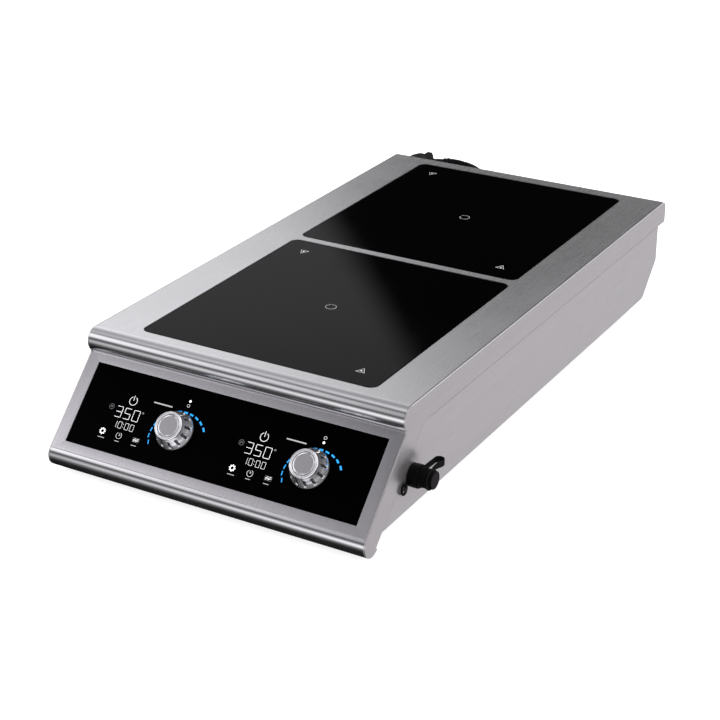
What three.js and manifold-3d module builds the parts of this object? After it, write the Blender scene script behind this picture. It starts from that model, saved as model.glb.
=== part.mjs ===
// Countertop induction hob with two cooking zones, one behind the other.
// Units: millimetres. +Z is up, +X is the right-hand side, the control front faces -Y.
// Origin: centre of the base pan's underside, on the width's mid-plane.
import * as THREE from "three";
import { mergeVertices } from "three/addons/utils/BufferGeometryUtils.js";
import Module from "manifold-3d";

const wasm = await Module();
wasm.setup();

// ---------------------------------------------------------------- driving dimensions
const HALF_WIDTH = 192;
const CHEEK_THICK = 1.6; // side sheet
const SHEET_THICK = 1.5; // deck and fascia sheet
const PAN_THICK = 1.6; // base pan sheet
const DECK_Z = 112; // top of the deck
const SEAM_Z = 84; // seam between the upper hood and the base pan
const DECK_HALF = 189.9; // deck sheet half width, leaves a fine gap to each cheek
const REAR_Y = 379; // back face of the turned-down rear flange
const PAN_REAR_Y = 358; // back face of the base pan

const FASCIA_DEG = 45.28; // slope of the fascia from the horizontal
const FASCIA_Y = -367.53; // bottom edge of the window, on the fascia's face
const FASCIA_Z = 14.4;
const WINDOW_HALF = 176.3;
const WINDOW_LENGTH = 91.4; // up the slope

const GLASS_HALF = 141.15; // cooking glass
const GLASS_RADIUS = 8.5;
const GLASS_TOP = DECK_Z - 0.2;
const GLASS_BOTTOM = GLASS_TOP - 6;
const EDGE_GAP = 1.6; // from the glass edge to the edge of the deck's cut-out

// Y ranges of each zone's glass and power board, and its fan's centre
const ZONES = [
  { name: "front", glass: [-272.2, 32.8], board: [-255, -5], fanY: -150 },
  { name: "rear", glass: [46.4, 352], board: [20, 264], fanY: 130 },
];
const FAN_X = -100;
const FOOT_X = 145;
const FOOT_PLACES = [["front", -290], ["rear", 284]];
const PROBE_Y = -286; // probe socket axis on the right side
const PROBE_Z = 36.5;
const GLAND_X = -42; // where the power cord leaves the rear
const GLAND_Z = 57;

// ---------------------------------------------------------------- materials
const FINISHES = {
  steel: { color: 0xb4b2b6, roughness: 0.34, metalness: 1 },
  sideSteel: { color: 0xa9a4a6, roughness: 0.38, metalness: 1 },
  zinc: { color: 0x9a9ea2, roughness: 0.5, metalness: 1 },
  blackGlass: { color: 0x050506, roughness: 0.06, metalness: 0 },
  seal: { color: 0x0c0c0c, roughness: 0.8, metalness: 0 },
  chrome: { color: 0xdcdcde, roughness: 0.1, metalness: 1 },
  satin: { color: 0xa2a0a6, roughness: 0.45, metalness: 1 },
  copper: { color: 0x9a4f2c, roughness: 0.45, metalness: 1 },
  carrier: { color: 0xcfc9bb, roughness: 0.7, metalness: 0 },
  ferrite: { color: 0x2a2a2c, roughness: 0.85, metalness: 0 },
  circuitBoard: { color: 0x14502a, roughness: 0.55, metalness: 0 },
  aluminium: { color: 0xb9bbbd, roughness: 0.4, metalness: 1 },
  black: { color: 0x131314, roughness: 0.6, metalness: 0 },
  rubber: { color: 0x101010, roughness: 0.85, metalness: 0 },
  cord: { color: 0x0f0f11, roughness: 0.65, metalness: 0 },
  brass: { color: 0xb59a58, roughness: 0.35, metalness: 1 },
};

// ---------------------------------------------------------------- geometry helpers
const vec = (x, y, z) => new THREE.Vector3(x, y, z);
const RAD = Math.PI / 180;

// closed three.js geometry to a Manifold solid, without collapsed triangles
function solid(source) {
  const bare = source.index ? source.toNonIndexed() : source.clone();
  bare.deleteAttribute("normal");
  bare.deleteAttribute("uv");
  const merged = mergeVertices(bare, 1e-4);
  const index = merged.index.array;
  const kept = [];
  for (let i = 0; i < index.length; i += 3) {
    const corners = index.slice(i, i + 3);
    if (new Set(corners).size === 3) kept.push(...corners);
  }
  return new wasm.Manifold(
    new wasm.Mesh({
      numProp: 3,
      vertProperties: new Float32Array(merged.attributes.position.array),
      triVerts: new Uint32Array(kept),
    }),
  );
}

// Manifold solid to a flat-shaded three.js geometry
function geometry(piece) {
  const mesh = piece.getMesh();
  const stride = mesh.numProp;
  const positions = new Float32Array(mesh.numVert * 3);
  for (let i = 0; i < mesh.numVert; i++)
    positions.set(mesh.vertProperties.subarray(i * stride, i * stride + 3), i * 3);
  const flat = new THREE.BufferGeometry()
    .setAttribute("position", new THREE.BufferAttribute(positions, 3))
    .setIndex(new THREE.BufferAttribute(new Uint32Array(mesh.triVerts), 1))
    .toNonIndexed();
  flat.computeVertexNormals();
  return flat;
}

const join = (...pieces) => pieces.reduce((sum, piece) => sum.add(piece));
const cut = (body, ...tools) => tools.reduce((rest, tool) => rest.subtract(tool), body);
const range = (count, make) => Array.from({ length: count }, (_, i) => make(i));

// outlines are lists of 2D points; those below run counter-clockwise
const arc = (x, y, radius, from, to, segments) =>
  range(segments + 1, (i) => {
    const angle = (from + ((to - from) * i) / segments) * RAD;
    return [x + radius * Math.cos(angle), y + radius * Math.sin(angle)];
  });
const circle = (x, y, radius, segments) =>
  arc(x, y, radius, 0, 360 - 360 / segments, segments - 1);
const rect = (xMin, xMax, yMin, yMax) => [[xMin, yMin], [xMax, yMin], [xMax, yMax], [xMin, yMax]];
const roundedRect = (xMin, xMax, yMin, yMax, radius, segments) => [
  ...arc(xMax - radius, yMin + radius, radius, -90, 0, segments),
  ...arc(xMax - radius, yMax - radius, radius, 0, 90, segments),
  ...arc(xMin + radius, yMax - radius, radius, 90, 180, segments),
  ...arc(xMin + radius, yMin + radius, radius, 180, 270, segments),
];

// outline of a bent sheet: the outer surface as a polyline, and the thickness to its left
function bentSheet(outer, thickness) {
  const normals = outer.slice(1).map(([x, y], i) => {
    const alongX = x - outer[i][0];
    const alongY = y - outer[i][1];
    const length = Math.hypot(alongX, alongY);
    return [-alongY / length, alongX / length];
  });
  const inner = outer.map(([x, y], i) => {
    const before = normals[Math.max(i - 1, 0)];
    const after = normals[Math.min(i, normals.length - 1)];
    const mitre = thickness / (1 + before[0] * after[0] + before[1] * after[1]);
    return [x + (before[0] + after[0]) * mitre, y + (before[1] + after[1]) * mitre];
  });
  return [...outer, ...inner.reverse()];
}

const toPoints = (outline) => outline.map(([x, y]) => new THREE.Vector2(x, y));
function toShape(outline, holes = []) {
  const shape = new THREE.Shape(toPoints(outline));
  for (const hole of holes) shape.holes.push(new THREE.Path(toPoints(hole).reverse()));
  return shape;
}
const extrude = (outline, depth, holes) =>
  new THREE.ExtrudeGeometry(toShape(outline, holes), { depth, bevelEnabled: false });

// prism of an (x, y) outline between two heights
const prismZ = (outline, bottom, top, holes) =>
  solid(extrude(outline, top - bottom, holes).translate(0, 0, bottom));
// prism of a (y, z) outline between two x
function prismX(outline, left, right, holes) {
  const toX = new THREE.Matrix4().makeBasis(vec(0, 1, 0), vec(0, 0, 1), vec(1, 0, 0));
  return solid(extrude(outline, right - left, holes).applyMatrix4(toX).translate(left, 0, 0));
}
// prism of an (x, z) outline between two y
function prismY(outline, front, back) {
  const toY = new THREE.Matrix4().makeBasis(vec(1, 0, 0), vec(0, 0, 1), vec(0, -1, 0));
  return solid(extrude(outline, back - front).applyMatrix4(toY).translate(0, back, 0));
}
const box = (left, right, front, back, bottom, top) =>
  solid(
    new THREE.BoxGeometry(right - left, back - front, top - bottom)
      .translate((left + right) / 2, (front + back) / 2, (bottom + top) / 2),
  );

// turned piece about local Z: profile of [radius, z], in either direction
function turned(profile, segments) {
  const make = (points) =>
    solid(new THREE.LatheGeometry(toPoints(points), segments).rotateX(Math.PI / 2));
  const piece = make(profile);
  return piece.volume() > 0 ? piece : make([...profile].reverse());
}
const cylinder = (radius, bottom, top, segments, x = 0, y = 0) =>
  turned([[0, bottom], [radius, bottom], [radius, top], [0, top]], segments).translate([x, y, 0]);
function tube(inner, outer, bottom, top, segments) {
  const profile = rect(inner, outer, bottom, top);
  return turned([...profile, profile[0]], segments);
}

// ---------------------------------------------------------------- groups
const group = new THREE.Group();

function subgroup(x, y, z) {
  const child = new THREE.Group();
  child.position.set(x, y, z);
  group.add(child);
  return child;
}
// local x = width, y = up the slope, z = out of the fascia
const fascia = subgroup(0, FASCIA_Y, FASCIA_Z);
fascia.rotation.x = FASCIA_DEG * RAD;

function add(name, piece, finish, parent = group) {
  const material = new THREE.MeshStandardMaterial(FINISHES[finish]);
  const mesh = new THREE.Mesh(geometry(piece), material);
  mesh.name = name;
  parent.add(mesh);
}

// ---------------------------------------------------------------- hood
const REAR_RADIUS = 10; // rounding of the rear deck edge
const NOSE = { y: -287, z: 97.8, radius: 14.2 }; // rolled front edge of the deck
const NOSE_END = 231.2; // angle where the front roll meets the fascia
const LIP = { y: -364.3, z: -3, radius: 14.2 }; // rolled lower lip of the fascia
const FASCIA_TOP = 101.2; // upper edge of the fascia sheet, up the slope
const CHEEK_INSET = 0.1; // the cheek's rolls stay this far inside the sheet's

// (y, z) of a point up the fascia's slope and out from its face
function onFascia(along, out = 0) {
  const cos = Math.cos(FASCIA_DEG * RAD);
  const sin = Math.sin(FASCIA_DEG * RAD);
  return [FASCIA_Y + cos * along - sin * out, FASCIA_Z + sin * along + cos * out];
}
// the cheek's oblique lower edge, behind the fascia
const onOblique = (z) => [z - 346, z];

const noseArc = (inset, end) => arc(NOSE.y, NOSE.z, NOSE.radius - inset, 90, end, 18);
const lipArc = (inset) =>
  arc(LIP.y, LIP.z, LIP.radius - inset, 90 + FASCIA_DEG, 270 + FASCIA_DEG, 18);

// outline of a glass grown by an offset
const glassOutline = ([front, back], offset, segments) =>
  roundedRect(
    -GLASS_HALF - offset, GLASS_HALF + offset, front - offset, back + offset,
    Math.max(GLASS_RADIUS + offset, 1), segments,
  );

function deckTop() {
  const line = [
    [PAN_REAR_Y + 0.6, SEAM_Z],
    [REAR_Y - 1.2, SEAM_Z],
    [REAR_Y - 0.35, SEAM_Z + 0.35],
    [REAR_Y, SEAM_Z + 1.2],
    ...arc(REAR_Y - REAR_RADIUS, DECK_Z - REAR_RADIUS, REAR_RADIUS, 0, 90, 8),
    ...noseArc(0, NOSE_END),
  ];
  return cut(
    prismX(bentSheet(line, SHEET_THICK), -DECK_HALF, DECK_HALF),
    ...ZONES.map(({ glass }) => prismZ(glassOutline(glass, EDGE_GAP, 5), DECK_Z - 6, DECK_Z + 4)),
  );
}
add("deck_top", deckTop(), "steel");

const CHEEK_OUTLINE = [ // (y, z)
  ...arc(REAR_Y - REAR_RADIUS, DECK_Z - REAR_RADIUS - 0.3, REAR_RADIUS - 0.2, 0, 90, 8),
  ...noseArc(CHEEK_INSET, NOSE_END - 4),
  [-297.3, 89.0], [-297.2, 87.2], // small relief notch below the roll
  onFascia(FASCIA_TOP - 2.2, -CHEEK_INSET),
  ...lipArc(CHEEK_INSET),
  onOblique(-11.2),
  onOblique(79.8),
  ...arc(-264.2, 81.4, 1.3, 225, 95, 5),
  [-261.4, SEAM_Z],
  [REAR_Y - 0.6, SEAM_Z],
];
const CHEEK_INNER = HALF_WIDTH - CHEEK_THICK;
add("cheek_left", prismX(CHEEK_OUTLINE, -HALF_WIDTH, -CHEEK_INNER), "sideSteel");
add("cheek_right", prismX(CHEEK_OUTLINE, CHEEK_INNER, HALF_WIDTH), "sideSteel");

function controlFascia() {
  const line = [onFascia(FASCIA_TOP), ...lipArc(0)];
  const windowCut = box(-WINDOW_HALF, WINDOW_HALF, 0, WINDOW_LENGTH, -4, 4)
    .rotate([FASCIA_DEG, 0, 0])
    .translate([0, FASCIA_Y, FASCIA_Z]);
  return cut(prismX(bentSheet(line, SHEET_THICK), -DECK_HALF, DECK_HALF), windowCut);
}
add("control_fascia", controlFascia(), "steel");

// ---------------------------------------------------------------- base pan
const PAN_FRONT_BOTTOM_Y = -345.5;
const PAN_FRONT_TOP_Y = -261.5;
const PAN_CHAMFER_Y = 319; // rear lower chamfer
const PAN_CHAMFER_Z = 39;
const PORT_RADIUS = 8.6; // holes for the probe socket and the cord gland
const SLOT_PITCH = 11.6; // fan intake slots

function panShell() {
  const diagonal = PAN_THICK * Math.SQRT2;
  const outer = [
    [PAN_FRONT_BOTTOM_Y, 0],
    [PAN_CHAMFER_Y - 2.5, 0],
    [PAN_CHAMFER_Y + 1.2, 1.2],
    [PAN_REAR_Y, PAN_CHAMFER_Z],
    [PAN_REAR_Y, SEAM_Z - 0.4],
    [PAN_FRONT_TOP_Y, SEAM_Z - 0.4],
  ];
  const inner = [ // runs past the top to leave the pan open
    [PAN_FRONT_BOTTOM_Y + diagonal - PAN_THICK, PAN_THICK],
    [PAN_CHAMFER_Y - 2.1, PAN_THICK],
    [PAN_REAR_Y - PAN_THICK, PAN_CHAMFER_Z + 0.7],
    [PAN_REAR_Y - PAN_THICK, SEAM_Z + 20],
    [PAN_FRONT_TOP_Y + diagonal + 20.4, SEAM_Z + 20],
  ];
  return cut(
    prismX(outer, -HALF_WIDTH, HALF_WIDTH),
    prismX(inner, -HALF_WIDTH + PAN_THICK, HALF_WIDTH - PAN_THICK),
  );
}

// seven slots whose ends follow a circle
const fanSlots = (fanY) =>
  range(7, (i) => {
    const offset = (i - 3) * SLOT_PITCH;
    const half = Math.sqrt(42 ** 2 - offset ** 2) - 1;
    const y = fanY + offset;
    return box(FAN_X - half, FAN_X + half, y - 2.6, y + 2.6, -2, 4);
  });

function basePan() {
  const footHoles = [-FOOT_X, FOOT_X].flatMap((x) =>
    FOOT_PLACES.map(([, y]) => cylinder(6, -2, 4, 16, x, y)),
  );
  const ventOpening = box(-170, 170, PAN_REAR_Y - 4, PAN_REAR_Y + 3, 46, 78);
  const probeOutline = circle(PROBE_Y, PROBE_Z, PORT_RADIUS, 24);
  return cut(
    panShell(),
    ...ZONES.flatMap(({ fanY }) => fanSlots(fanY)),
    ...footHoles,
    ventOpening,
    prismX(probeOutline, HALF_WIDTH - 4, HALF_WIDTH + 4),
  );
}
add("base_pan", basePan(), "sideSteel");

// panel with horizontal louvre slots and the cord hole
function rearVentPanel() {
  const louvres = [-154, -104, 4, 54, 104, 154].flatMap((x) =>
    [53, 61, 69].map((z) =>
      box(x - 20, x + 20, PAN_REAR_Y - 2, PAN_REAR_Y + 4, z - 1.8, z + 1.8),
    ),
  );
  return cut(
    box(-182, 182, PAN_REAR_Y + 0.3, PAN_REAR_Y + 1.5, 41.5, 82.5),
    ...louvres,
    prismY(circle(GLAND_X, GLAND_Z, PORT_RADIUS, 20), PAN_REAR_Y - 4, PAN_REAR_Y + 4),
  );
}
add("rear_vent_panel", rearVentPanel(), "sideSteel");

// ---------------------------------------------------------------- cooking glass and coils
// rings around a glass: offsets of the inner and outer edge from the glass edge, bottom, top
const SEAL_RINGS = [
  [0.3, EDGE_GAP - 0.3, GLASS_BOTTOM - 0.4, GLASS_TOP - 0.3],
  [-8, EDGE_GAP - 0.3, GLASS_BOTTOM - 1.3, GLASS_BOTTOM - 0.3],
];
const FRAME_RINGS = [
  [-14, 3.4, 102.4, 103.9],
  [2, 3.4, 102.6, 110.1],
  [2, 6.2, 108.8, 110.1],
];
const COIL = { inner: 26, outer: 112, bottom: 93.4, valley: 97.2, crest: 98.6, ridges: 3 };
const FERRITE_BOTTOM = 83;
const FERRITE_TOP = 88;
const TRAY = { half: 189.8, halfLength: 122, flangeBottom: 66, top: 82, thick: 1.4 };
const SENSOR_TOP = GLASS_BOTTOM - 0.3;
const SENSOR_PROFILE = [ // [radius, z]
  [0, 90], [3, 90], [3, 99], [8, 100], [9, 101.5], [9, SENSOR_TOP], [0, SENSOR_TOP],
];

const glassRings = (glass, rings) =>
  join(
    ...rings.map(([inner, outer, bottom, top]) =>
      prismZ(glassOutline(glass, outer, 3), bottom, top, [glassOutline(glass, inner, 3)]),
    ),
  );

// ring with concentric ridges on top
function coilWinding() {
  const { inner, outer, bottom, valley, crest, ridges } = COIL;
  const pitch = (outer - inner) / ridges;
  const profile = [[inner, bottom], [outer, bottom]];
  for (let i = ridges; i > 0; i--) {
    const radius = inner + i * pitch;
    profile.push([radius, valley], [radius - pitch / 2, crest]);
  }
  profile.push([inner, valley], [inner, bottom]);
  return turned(profile, 22);
}

// disc on four posts
function coilCarrier() {
  const posts = range(4, (i) => {
    const angle = (22.5 + 90 * i) * RAD;
    return cylinder(5, 82.3, 89, 10, 110 * Math.cos(angle), 110 * Math.sin(angle));
  });
  return join(tube(18, 118, 88.4, 93, 24), ...posts);
}

// hub ring with eight bars
function ferriteStar() {
  const bar = box(25, 107, -6.5, 6.5, FERRITE_BOTTOM, FERRITE_TOP);
  return join(
    tube(20, 30, FERRITE_BOTTOM, FERRITE_TOP, 24),
    ...range(8, (i) => bar.rotate([0, 0, 45 * i])),
  );
}

// plate with a round hole and turned-down sides
function coilTray() {
  const { half, halfLength, flangeBottom, top, thick } = TRAY;
  const sheet = (left, right, bottom) => box(left, right, -halfLength, halfLength, bottom, top);
  return cut(
    join(
      sheet(-half, half, top - thick),
      sheet(-half, -half + thick, flangeBottom),
      sheet(half - thick, half, flangeBottom),
    ),
    cylinder(70, 79, 84, 24),
  );
}

for (const { name, glass } of ZONES) {
  const zoneY = (glass[0] + glass[1]) / 2;
  const addCentred = (piece, body, finish) =>
    add(`${piece}_${name}`, body.translate([0, zoneY, 0]), finish);
  add("glass_" + name, prismZ(glassOutline(glass, 0, 7), GLASS_BOTTOM, GLASS_TOP), "blackGlass");
  add("glass_seal_" + name, glassRings(glass, SEAL_RINGS), "seal");
  add("glass_frame_" + name, glassRings(glass, FRAME_RINGS), "zinc");
  addCentred("coil_winding", coilWinding(), "copper");
  addCentred("coil_carrier", coilCarrier(), "carrier");
  addCentred("ferrite_star", ferriteStar(), "ferrite");
  addCentred("coil_tray", coilTray(), "aluminium");
  addCentred("temp_sensor", turned(SENSOR_PROFILE, 14), "black");
}

// ---------------------------------------------------------------- power electronics and cooling
const FAN_HALF = 46;
const FAN_BOTTOM = 2.2;
const FAN_TOP = FAN_BOTTOM + 25;
const HUB_TOP = 4.2; // top of the fan frame's hub and spokes

function powerBoard([front, back]) {
  const midY = (front + back) / 2;
  const legs = [8, 162].flatMap((x) =>
    [front + 8, back - 8].map((y) => cylinder(3.4, 2, 9, 6, x, y)),
  );
  return join(
    box(0, 170, front, back, 8, 9.8),
    ...legs,
    box(98, 128, midY - 70, midY - 40, 9, 40), // resonance capacitors
    box(98, 128, midY - 34, midY - 4, 9, 40),
    cylinder(16, 9, 44, 12, 146, midY - 30), // bulk capacitors
    cylinder(16, 9, 44, 12, 146, midY + 8),
    cylinder(20, 9, 32, 12, 118, midY + 52), // choke
    box(20, 44, front + 6, front + 22, 9, 24), // small blocks near the board's ends
    box(60, 84, back - 24, back - 6, 9, 20),
  );
}

function heatsink([front, back]) {
  const midY = (front + back) / 2;
  const bar = (left, right, bottom, top) =>
    box(left, right, midY - 72, midY + 78, bottom, top);
  const fins = range(9, (i) => bar(15 + i * 8.4, 17.2 + i * 8.4, 16, 52));
  return join(bar(14, 86, 12, 17), ...fins);
}

function fanFrame() {
  const outline = roundedRect(-FAN_HALF, FAN_HALF, -FAN_HALF, FAN_HALF, 5, 3);
  return join(
    prismZ(outline, FAN_BOTTOM, FAN_TOP, [circle(0, 0, 43.5, 24)]),
    cylinder(16, FAN_BOTTOM, HUB_TOP, 20),
    box(-45, 45, -2, 2, FAN_BOTTOM, HUB_TOP),
    box(-2, 2, -45, 45, FAN_BOTTOM, HUB_TOP),
  );
}

function fanImpeller() {
  const blade = box(-13.5, 13.5, -0.9, 0.9, -9.5, 9.5)
    .rotate([0.85 / RAD, 0, 0]) // pitch of 0.85 radians
    .translate([28.4, 0, 15.4]);
  const blades = range(7, (i) => blade.rotate([0, 0, (i * 360) / 7]));
  return join(cylinder(17, 4.8, FAN_TOP - 1, 24), ...blades);
}

for (const { name, board, fanY } of ZONES) {
  add("power_board_" + name, powerBoard(board), "circuitBoard");
  add("heatsink_" + name, heatsink(board), "aluminium");
  add("fan_frame_" + name, fanFrame().translate([FAN_X, fanY, 0]), "black");
  add("fan_impeller_" + name, fanImpeller().translate([FAN_X, fanY, 0]), "black");
}

const mainsFilter = join(
  box(-184, -30, 208, 268, 2.2, 3.6), // mounting plate
  box(-172, -42, 212, 264, 3, 46),
  box(-50, -44, 232, 244, 40, 52), // tab on top
);
add("mains_filter", mainsFilter, "zinc");

const terminalBlock = cut(
  box(-140, -60, 304, 322, 8, 30),
  ...range(5, (i) => cylinder(3.2, 20, 40, 10, -130 + i * 15, 313)),
);
add("terminal_block", terminalBlock, "carrier");

// ---------------------------------------------------------------- control front, fascia frame
const KNOBS = [["left", -54.45], ["right", 106.85]]; // side, x of the axis
const KNOB_Y = 41.4; // up the slope
const KNOB_HEIGHT = 17.5;
const WINDOW_GAP = 0.35; // around the control glass
const KNOB_PROFILE = [ // [radius, z]: flared skirt, front ring and a recess for the inlay
  [3.3, 0.8], [21, 0.8], [20.4, 3.6], [18.6, 7.6], [16.6, 12.4], [15.6, 16.2],
  [14.6, KNOB_HEIGHT], [13.2, KNOB_HEIGHT], [12.2, KNOB_HEIGHT - 1.2],
  [12.2, 13], [3.3, 13], [3.3, 0.8],
];
const INLAY_PROFILE = [[0, 13.3], [11.8, 13.3], [11.8, 16.4], [11.4, 16.8], [0, 16.8]];

const knobHoles = (radius, segments) => KNOBS.map(([, x]) => circle(x, KNOB_Y, radius, segments));

const controlGlassOutline = rect(
  -WINDOW_HALF + WINDOW_GAP, WINDOW_HALF - WINDOW_GAP, WINDOW_GAP, WINDOW_LENGTH - WINDOW_GAP,
);
const controlGlass = prismZ(controlGlassOutline, -4, -0.25, knobHoles(4.4, 20));
add("control_glass", controlGlass, "blackGlass", fascia);

const controlFrame = prismZ(rect(-186, 186, -4, 96), -5.8, -4.4, [rect(-168, 168, 8, 83)]);
add("control_glass_frame", controlFrame, "black", fascia);

const displayBoard = join(
  prismZ(roundedRect(-160, 160, 10, 81, 2, 2), -13.4, -11.8, knobHoles(12, 16)),
  box(-134, -100, 26, 54, -12, -6.4), // display modules
  box(28, 62, 26, 54, -12, -6.4),
  box(-20, 10, 30, 50, -18, -12.6), // controller and ribbon connector behind
);
add("display_board", displayBoard, "circuitBoard", fascia);

for (const [side, x] of KNOBS) {
  const addKnobPart = (name, piece, finish) =>
    add(`${name}_${side}`, piece.translate([x, KNOB_Y, 0]), finish, fascia);
  const encoder = cut(box(-8, 8, -8, 8, -17.6, -6.2), cylinder(3.4, -14, 0, 20));
  addKnobPart("encoder", encoder, "zinc");
  addKnobPart("knob_shaft", cylinder(3.0, -13.6, 11.6, 16), "brass");
  addKnobPart("knob", turned(KNOB_PROFILE, 24), "chrome");
  addKnobPart("knob_inlay", turned(INLAY_PROFILE, 24), "satin");
}

// back plate of the control box, parallel to the fascia
const backHole = roundedRect(-30, 30, 66, 80, 3, 2);
const boxBack = prismZ(rect(-189, 189, -4, 90), -24.6, -23.4, [backHole]);
add("control_box_back", boxBack, "zinc", fascia);

// ---------------------------------------------------------------- probe socket with tethered cap
// local z = out of the right side, local y = rearwards, local x = down
const probe = subgroup(HALF_WIDTH, PROBE_Y, PROBE_Z);
probe.rotation.y = Math.PI / 2;

// profiles of [radius, z]
const SOCKET_PROFILE = [
  [0, 5], [4, 5], [4, 17], [7.3, 17], [7.3, 10.8], [11.6, 10.8], [12.4, 10], [12.4, 3.4],
  [11.9, 2.4], [8.2, 2.4], [8.2, -14], [0, -14],
];
const SCREW_PROFILE = [[0, 0.3], [2.0, 0.3], [2.0, 3.8], [3.8, 3.8], [3.4, 5.2], [0, 5.6]];
const CAP_PROFILE = [ // cup over the socket's spigot, neck groove, end disc
  [0, 17.6], [7.9, 17.6], [7.9, 12.6], [9.9, 12.6], [10.4, 13.2], [10.4, 19.4], [9.8, 20.4],
  [8.4, 20.4], [8.4, 22.4], [9.5, 22.4], [9.5, 25.4], [9.0, 26], [0, 26],
];
const ANCHOR_X = 7.0; // lower front end of the anchor strap
const ANCHOR_Y = -21.3;
const STRAP_X = -8.2; // the tether strap runs above the axis
const STRAP_HALF = 2.75;
const BEND_Y = 28; // where the tether turns back
const LOWER_RING = [11.2, 12.2]; // z range of the tether's ring around the cap's open end
const UPPER_RING = [20.9, 21.9]; // z range of the ring in the cap's neck groove

add("probe_socket", turned(SOCKET_PROFILE, 20), "black", probe);
const socketNut = cut(prismZ(circle(0, 0, 13, 6), -7.4, -2.2), cylinder(8.6, -9, 0, 20));
add("probe_socket_nut", socketNut, "brass", probe);

// ring behind the socket, flat strap downwards to the front, small loop at its end
function anchorLoop() {
  const strapEndY = ANCHOR_Y + 3;
  const strap = [[1.5, -9], [ANCHOR_X - 2.6, strapEndY], [ANCHOR_X + 1.8, strapEndY], [6.8, -9]];
  return cut(
    join(
      prismZ(circle(0, 0, 12.2, 20), 0.4, 2.0),
      prismZ(strap, 0.4, 2.0),
      tube(2.4, 5.4, 0.5, 3.4, 12).translate([ANCHOR_X, ANCHOR_Y, 0]),
    ),
    cylinder(8.7, -1, 3, 20),
  );
}
add("anchor_loop", anchorLoop(), "rubber", probe);
const anchorScrew = turned(SCREW_PROFILE, 14).translate([ANCHOR_X, ANCHOR_Y, 0]);
add("anchor_screw", anchorScrew, "zinc", probe);
add("probe_cap", turned(CAP_PROFILE, 20), "black", probe);

const tetherRing = (outer, inner, [bottom, top]) =>
  prismZ(circle(0, 0, outer, 28), bottom, top, [circle(0, 0, inner, 24)]);
const tetherStrap = (front, back, [bottom, top]) =>
  box(STRAP_X - STRAP_HALF, STRAP_X + STRAP_HALF, front, back, bottom, top);

// lower ring, and a strap looping rearwards and back towards the neck
function capTether() {
  const midZ = (LOWER_RING[0] + UPPER_RING[1]) / 2;
  const radius = (UPPER_RING[1] - LOWER_RING[0]) / 2;
  const bend = [
    ...arc(BEND_Y, midZ, radius, -90, 90, 14),
    ...arc(BEND_Y, midZ, radius - 1, 90, -90, 14),
  ];
  return join(
    tetherRing(11.2, 7.7, LOWER_RING),
    tetherStrap(5.8, BEND_Y + 0.01, LOWER_RING),
    prismX(bend, STRAP_X - STRAP_HALF, STRAP_X + STRAP_HALF),
    tetherStrap(16.5, BEND_Y + 0.01, UPPER_RING),
  );
}
add("cap_tether", capTether(), "rubber", probe);
const neckRing = join(tetherRing(11.4, 8.8, UPPER_RING), tetherStrap(7.2, 16.1, UPPER_RING));
add("cap_tether_ring", neckRing, "rubber", probe);

// ---------------------------------------------------------------- feet
const FOOT_PROFILE = [ // [radius, z]
  [0, -25], [16.5, -25], [18, -23.5], [18, -17.5], [15, -15],
  [10, -13.5], [10, -3.2], [5.4, -3.2], [5.4, 12], [0, 12],
];
for (const [side, x] of [["left", -FOOT_X], ["right", FOOT_X]])
  for (const [end, y] of FOOT_PLACES)
    add(`foot_${end}_${side}`, turned(FOOT_PROFILE, 16).translate([x, y, 0]), "black");

// ---------------------------------------------------------------- power cord behind the rear left
const CORD_RADIUS = 4.6;
const COIL_X = -109; // centre of the coiled cord
const COIL_Z = 60;
const INNER_LAYER_Y = 391.8; // the coil's two layers, the inner one nearer the hob
const OUTER_LAYER_Y = 402.5;
const PLUG = { x: -152, y: 395, z: 97.5 }; // right end of the plug body, on its axis
const PLUG_CORD_Z = 0.6; // height of the cord entry above the plug's axis
const PLUG_PIN_X = -20; // middle of the pins, from the right end
const PLUG_OUTLINE = [ // (x from the right end, z from the axis)
  [-29, -12], [-5, -12], [0, -8], [0, 7.5], [-2.4, 12.6], [-9.6, 12.6], [-11.6, 8.6],
  [-13.6, 7.4], [-15.6, 9.4], [-21, 9.2], [-33, 4.6], [-36, 1], [-36, -5], [-34, -9.5],
];

const gland = subgroup(GLAND_X, PAN_REAR_Y, GLAND_Z);
gland.rotation.x = -Math.PI / 2; // local z = rearwards
const cordGland = cut(
  join(
    prismZ(circle(0, 0, 12, 6), 2.0, 7),
    turned([[0, 6.5], [10.4, 6.5], [10.4, 10], [7.6, 16], [0, 16]], 24),
    cylinder(8.1, -8, 3, 20),
  ),
  cylinder(5.1, -12, 20, 20),
);
add("cord_gland", cordGland, "black", gland);

// point of the oval coil; depth is 0 on the outer turn and 1 on the innermost
const coilPoint = (degrees, depth, y) =>
  vec(
    COIL_X + (49 - 20.4 * depth) * Math.cos(degrees * RAD),
    y,
    COIL_Z + (43.7 - 20 * depth) * Math.sin(degrees * RAD),
  );

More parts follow.
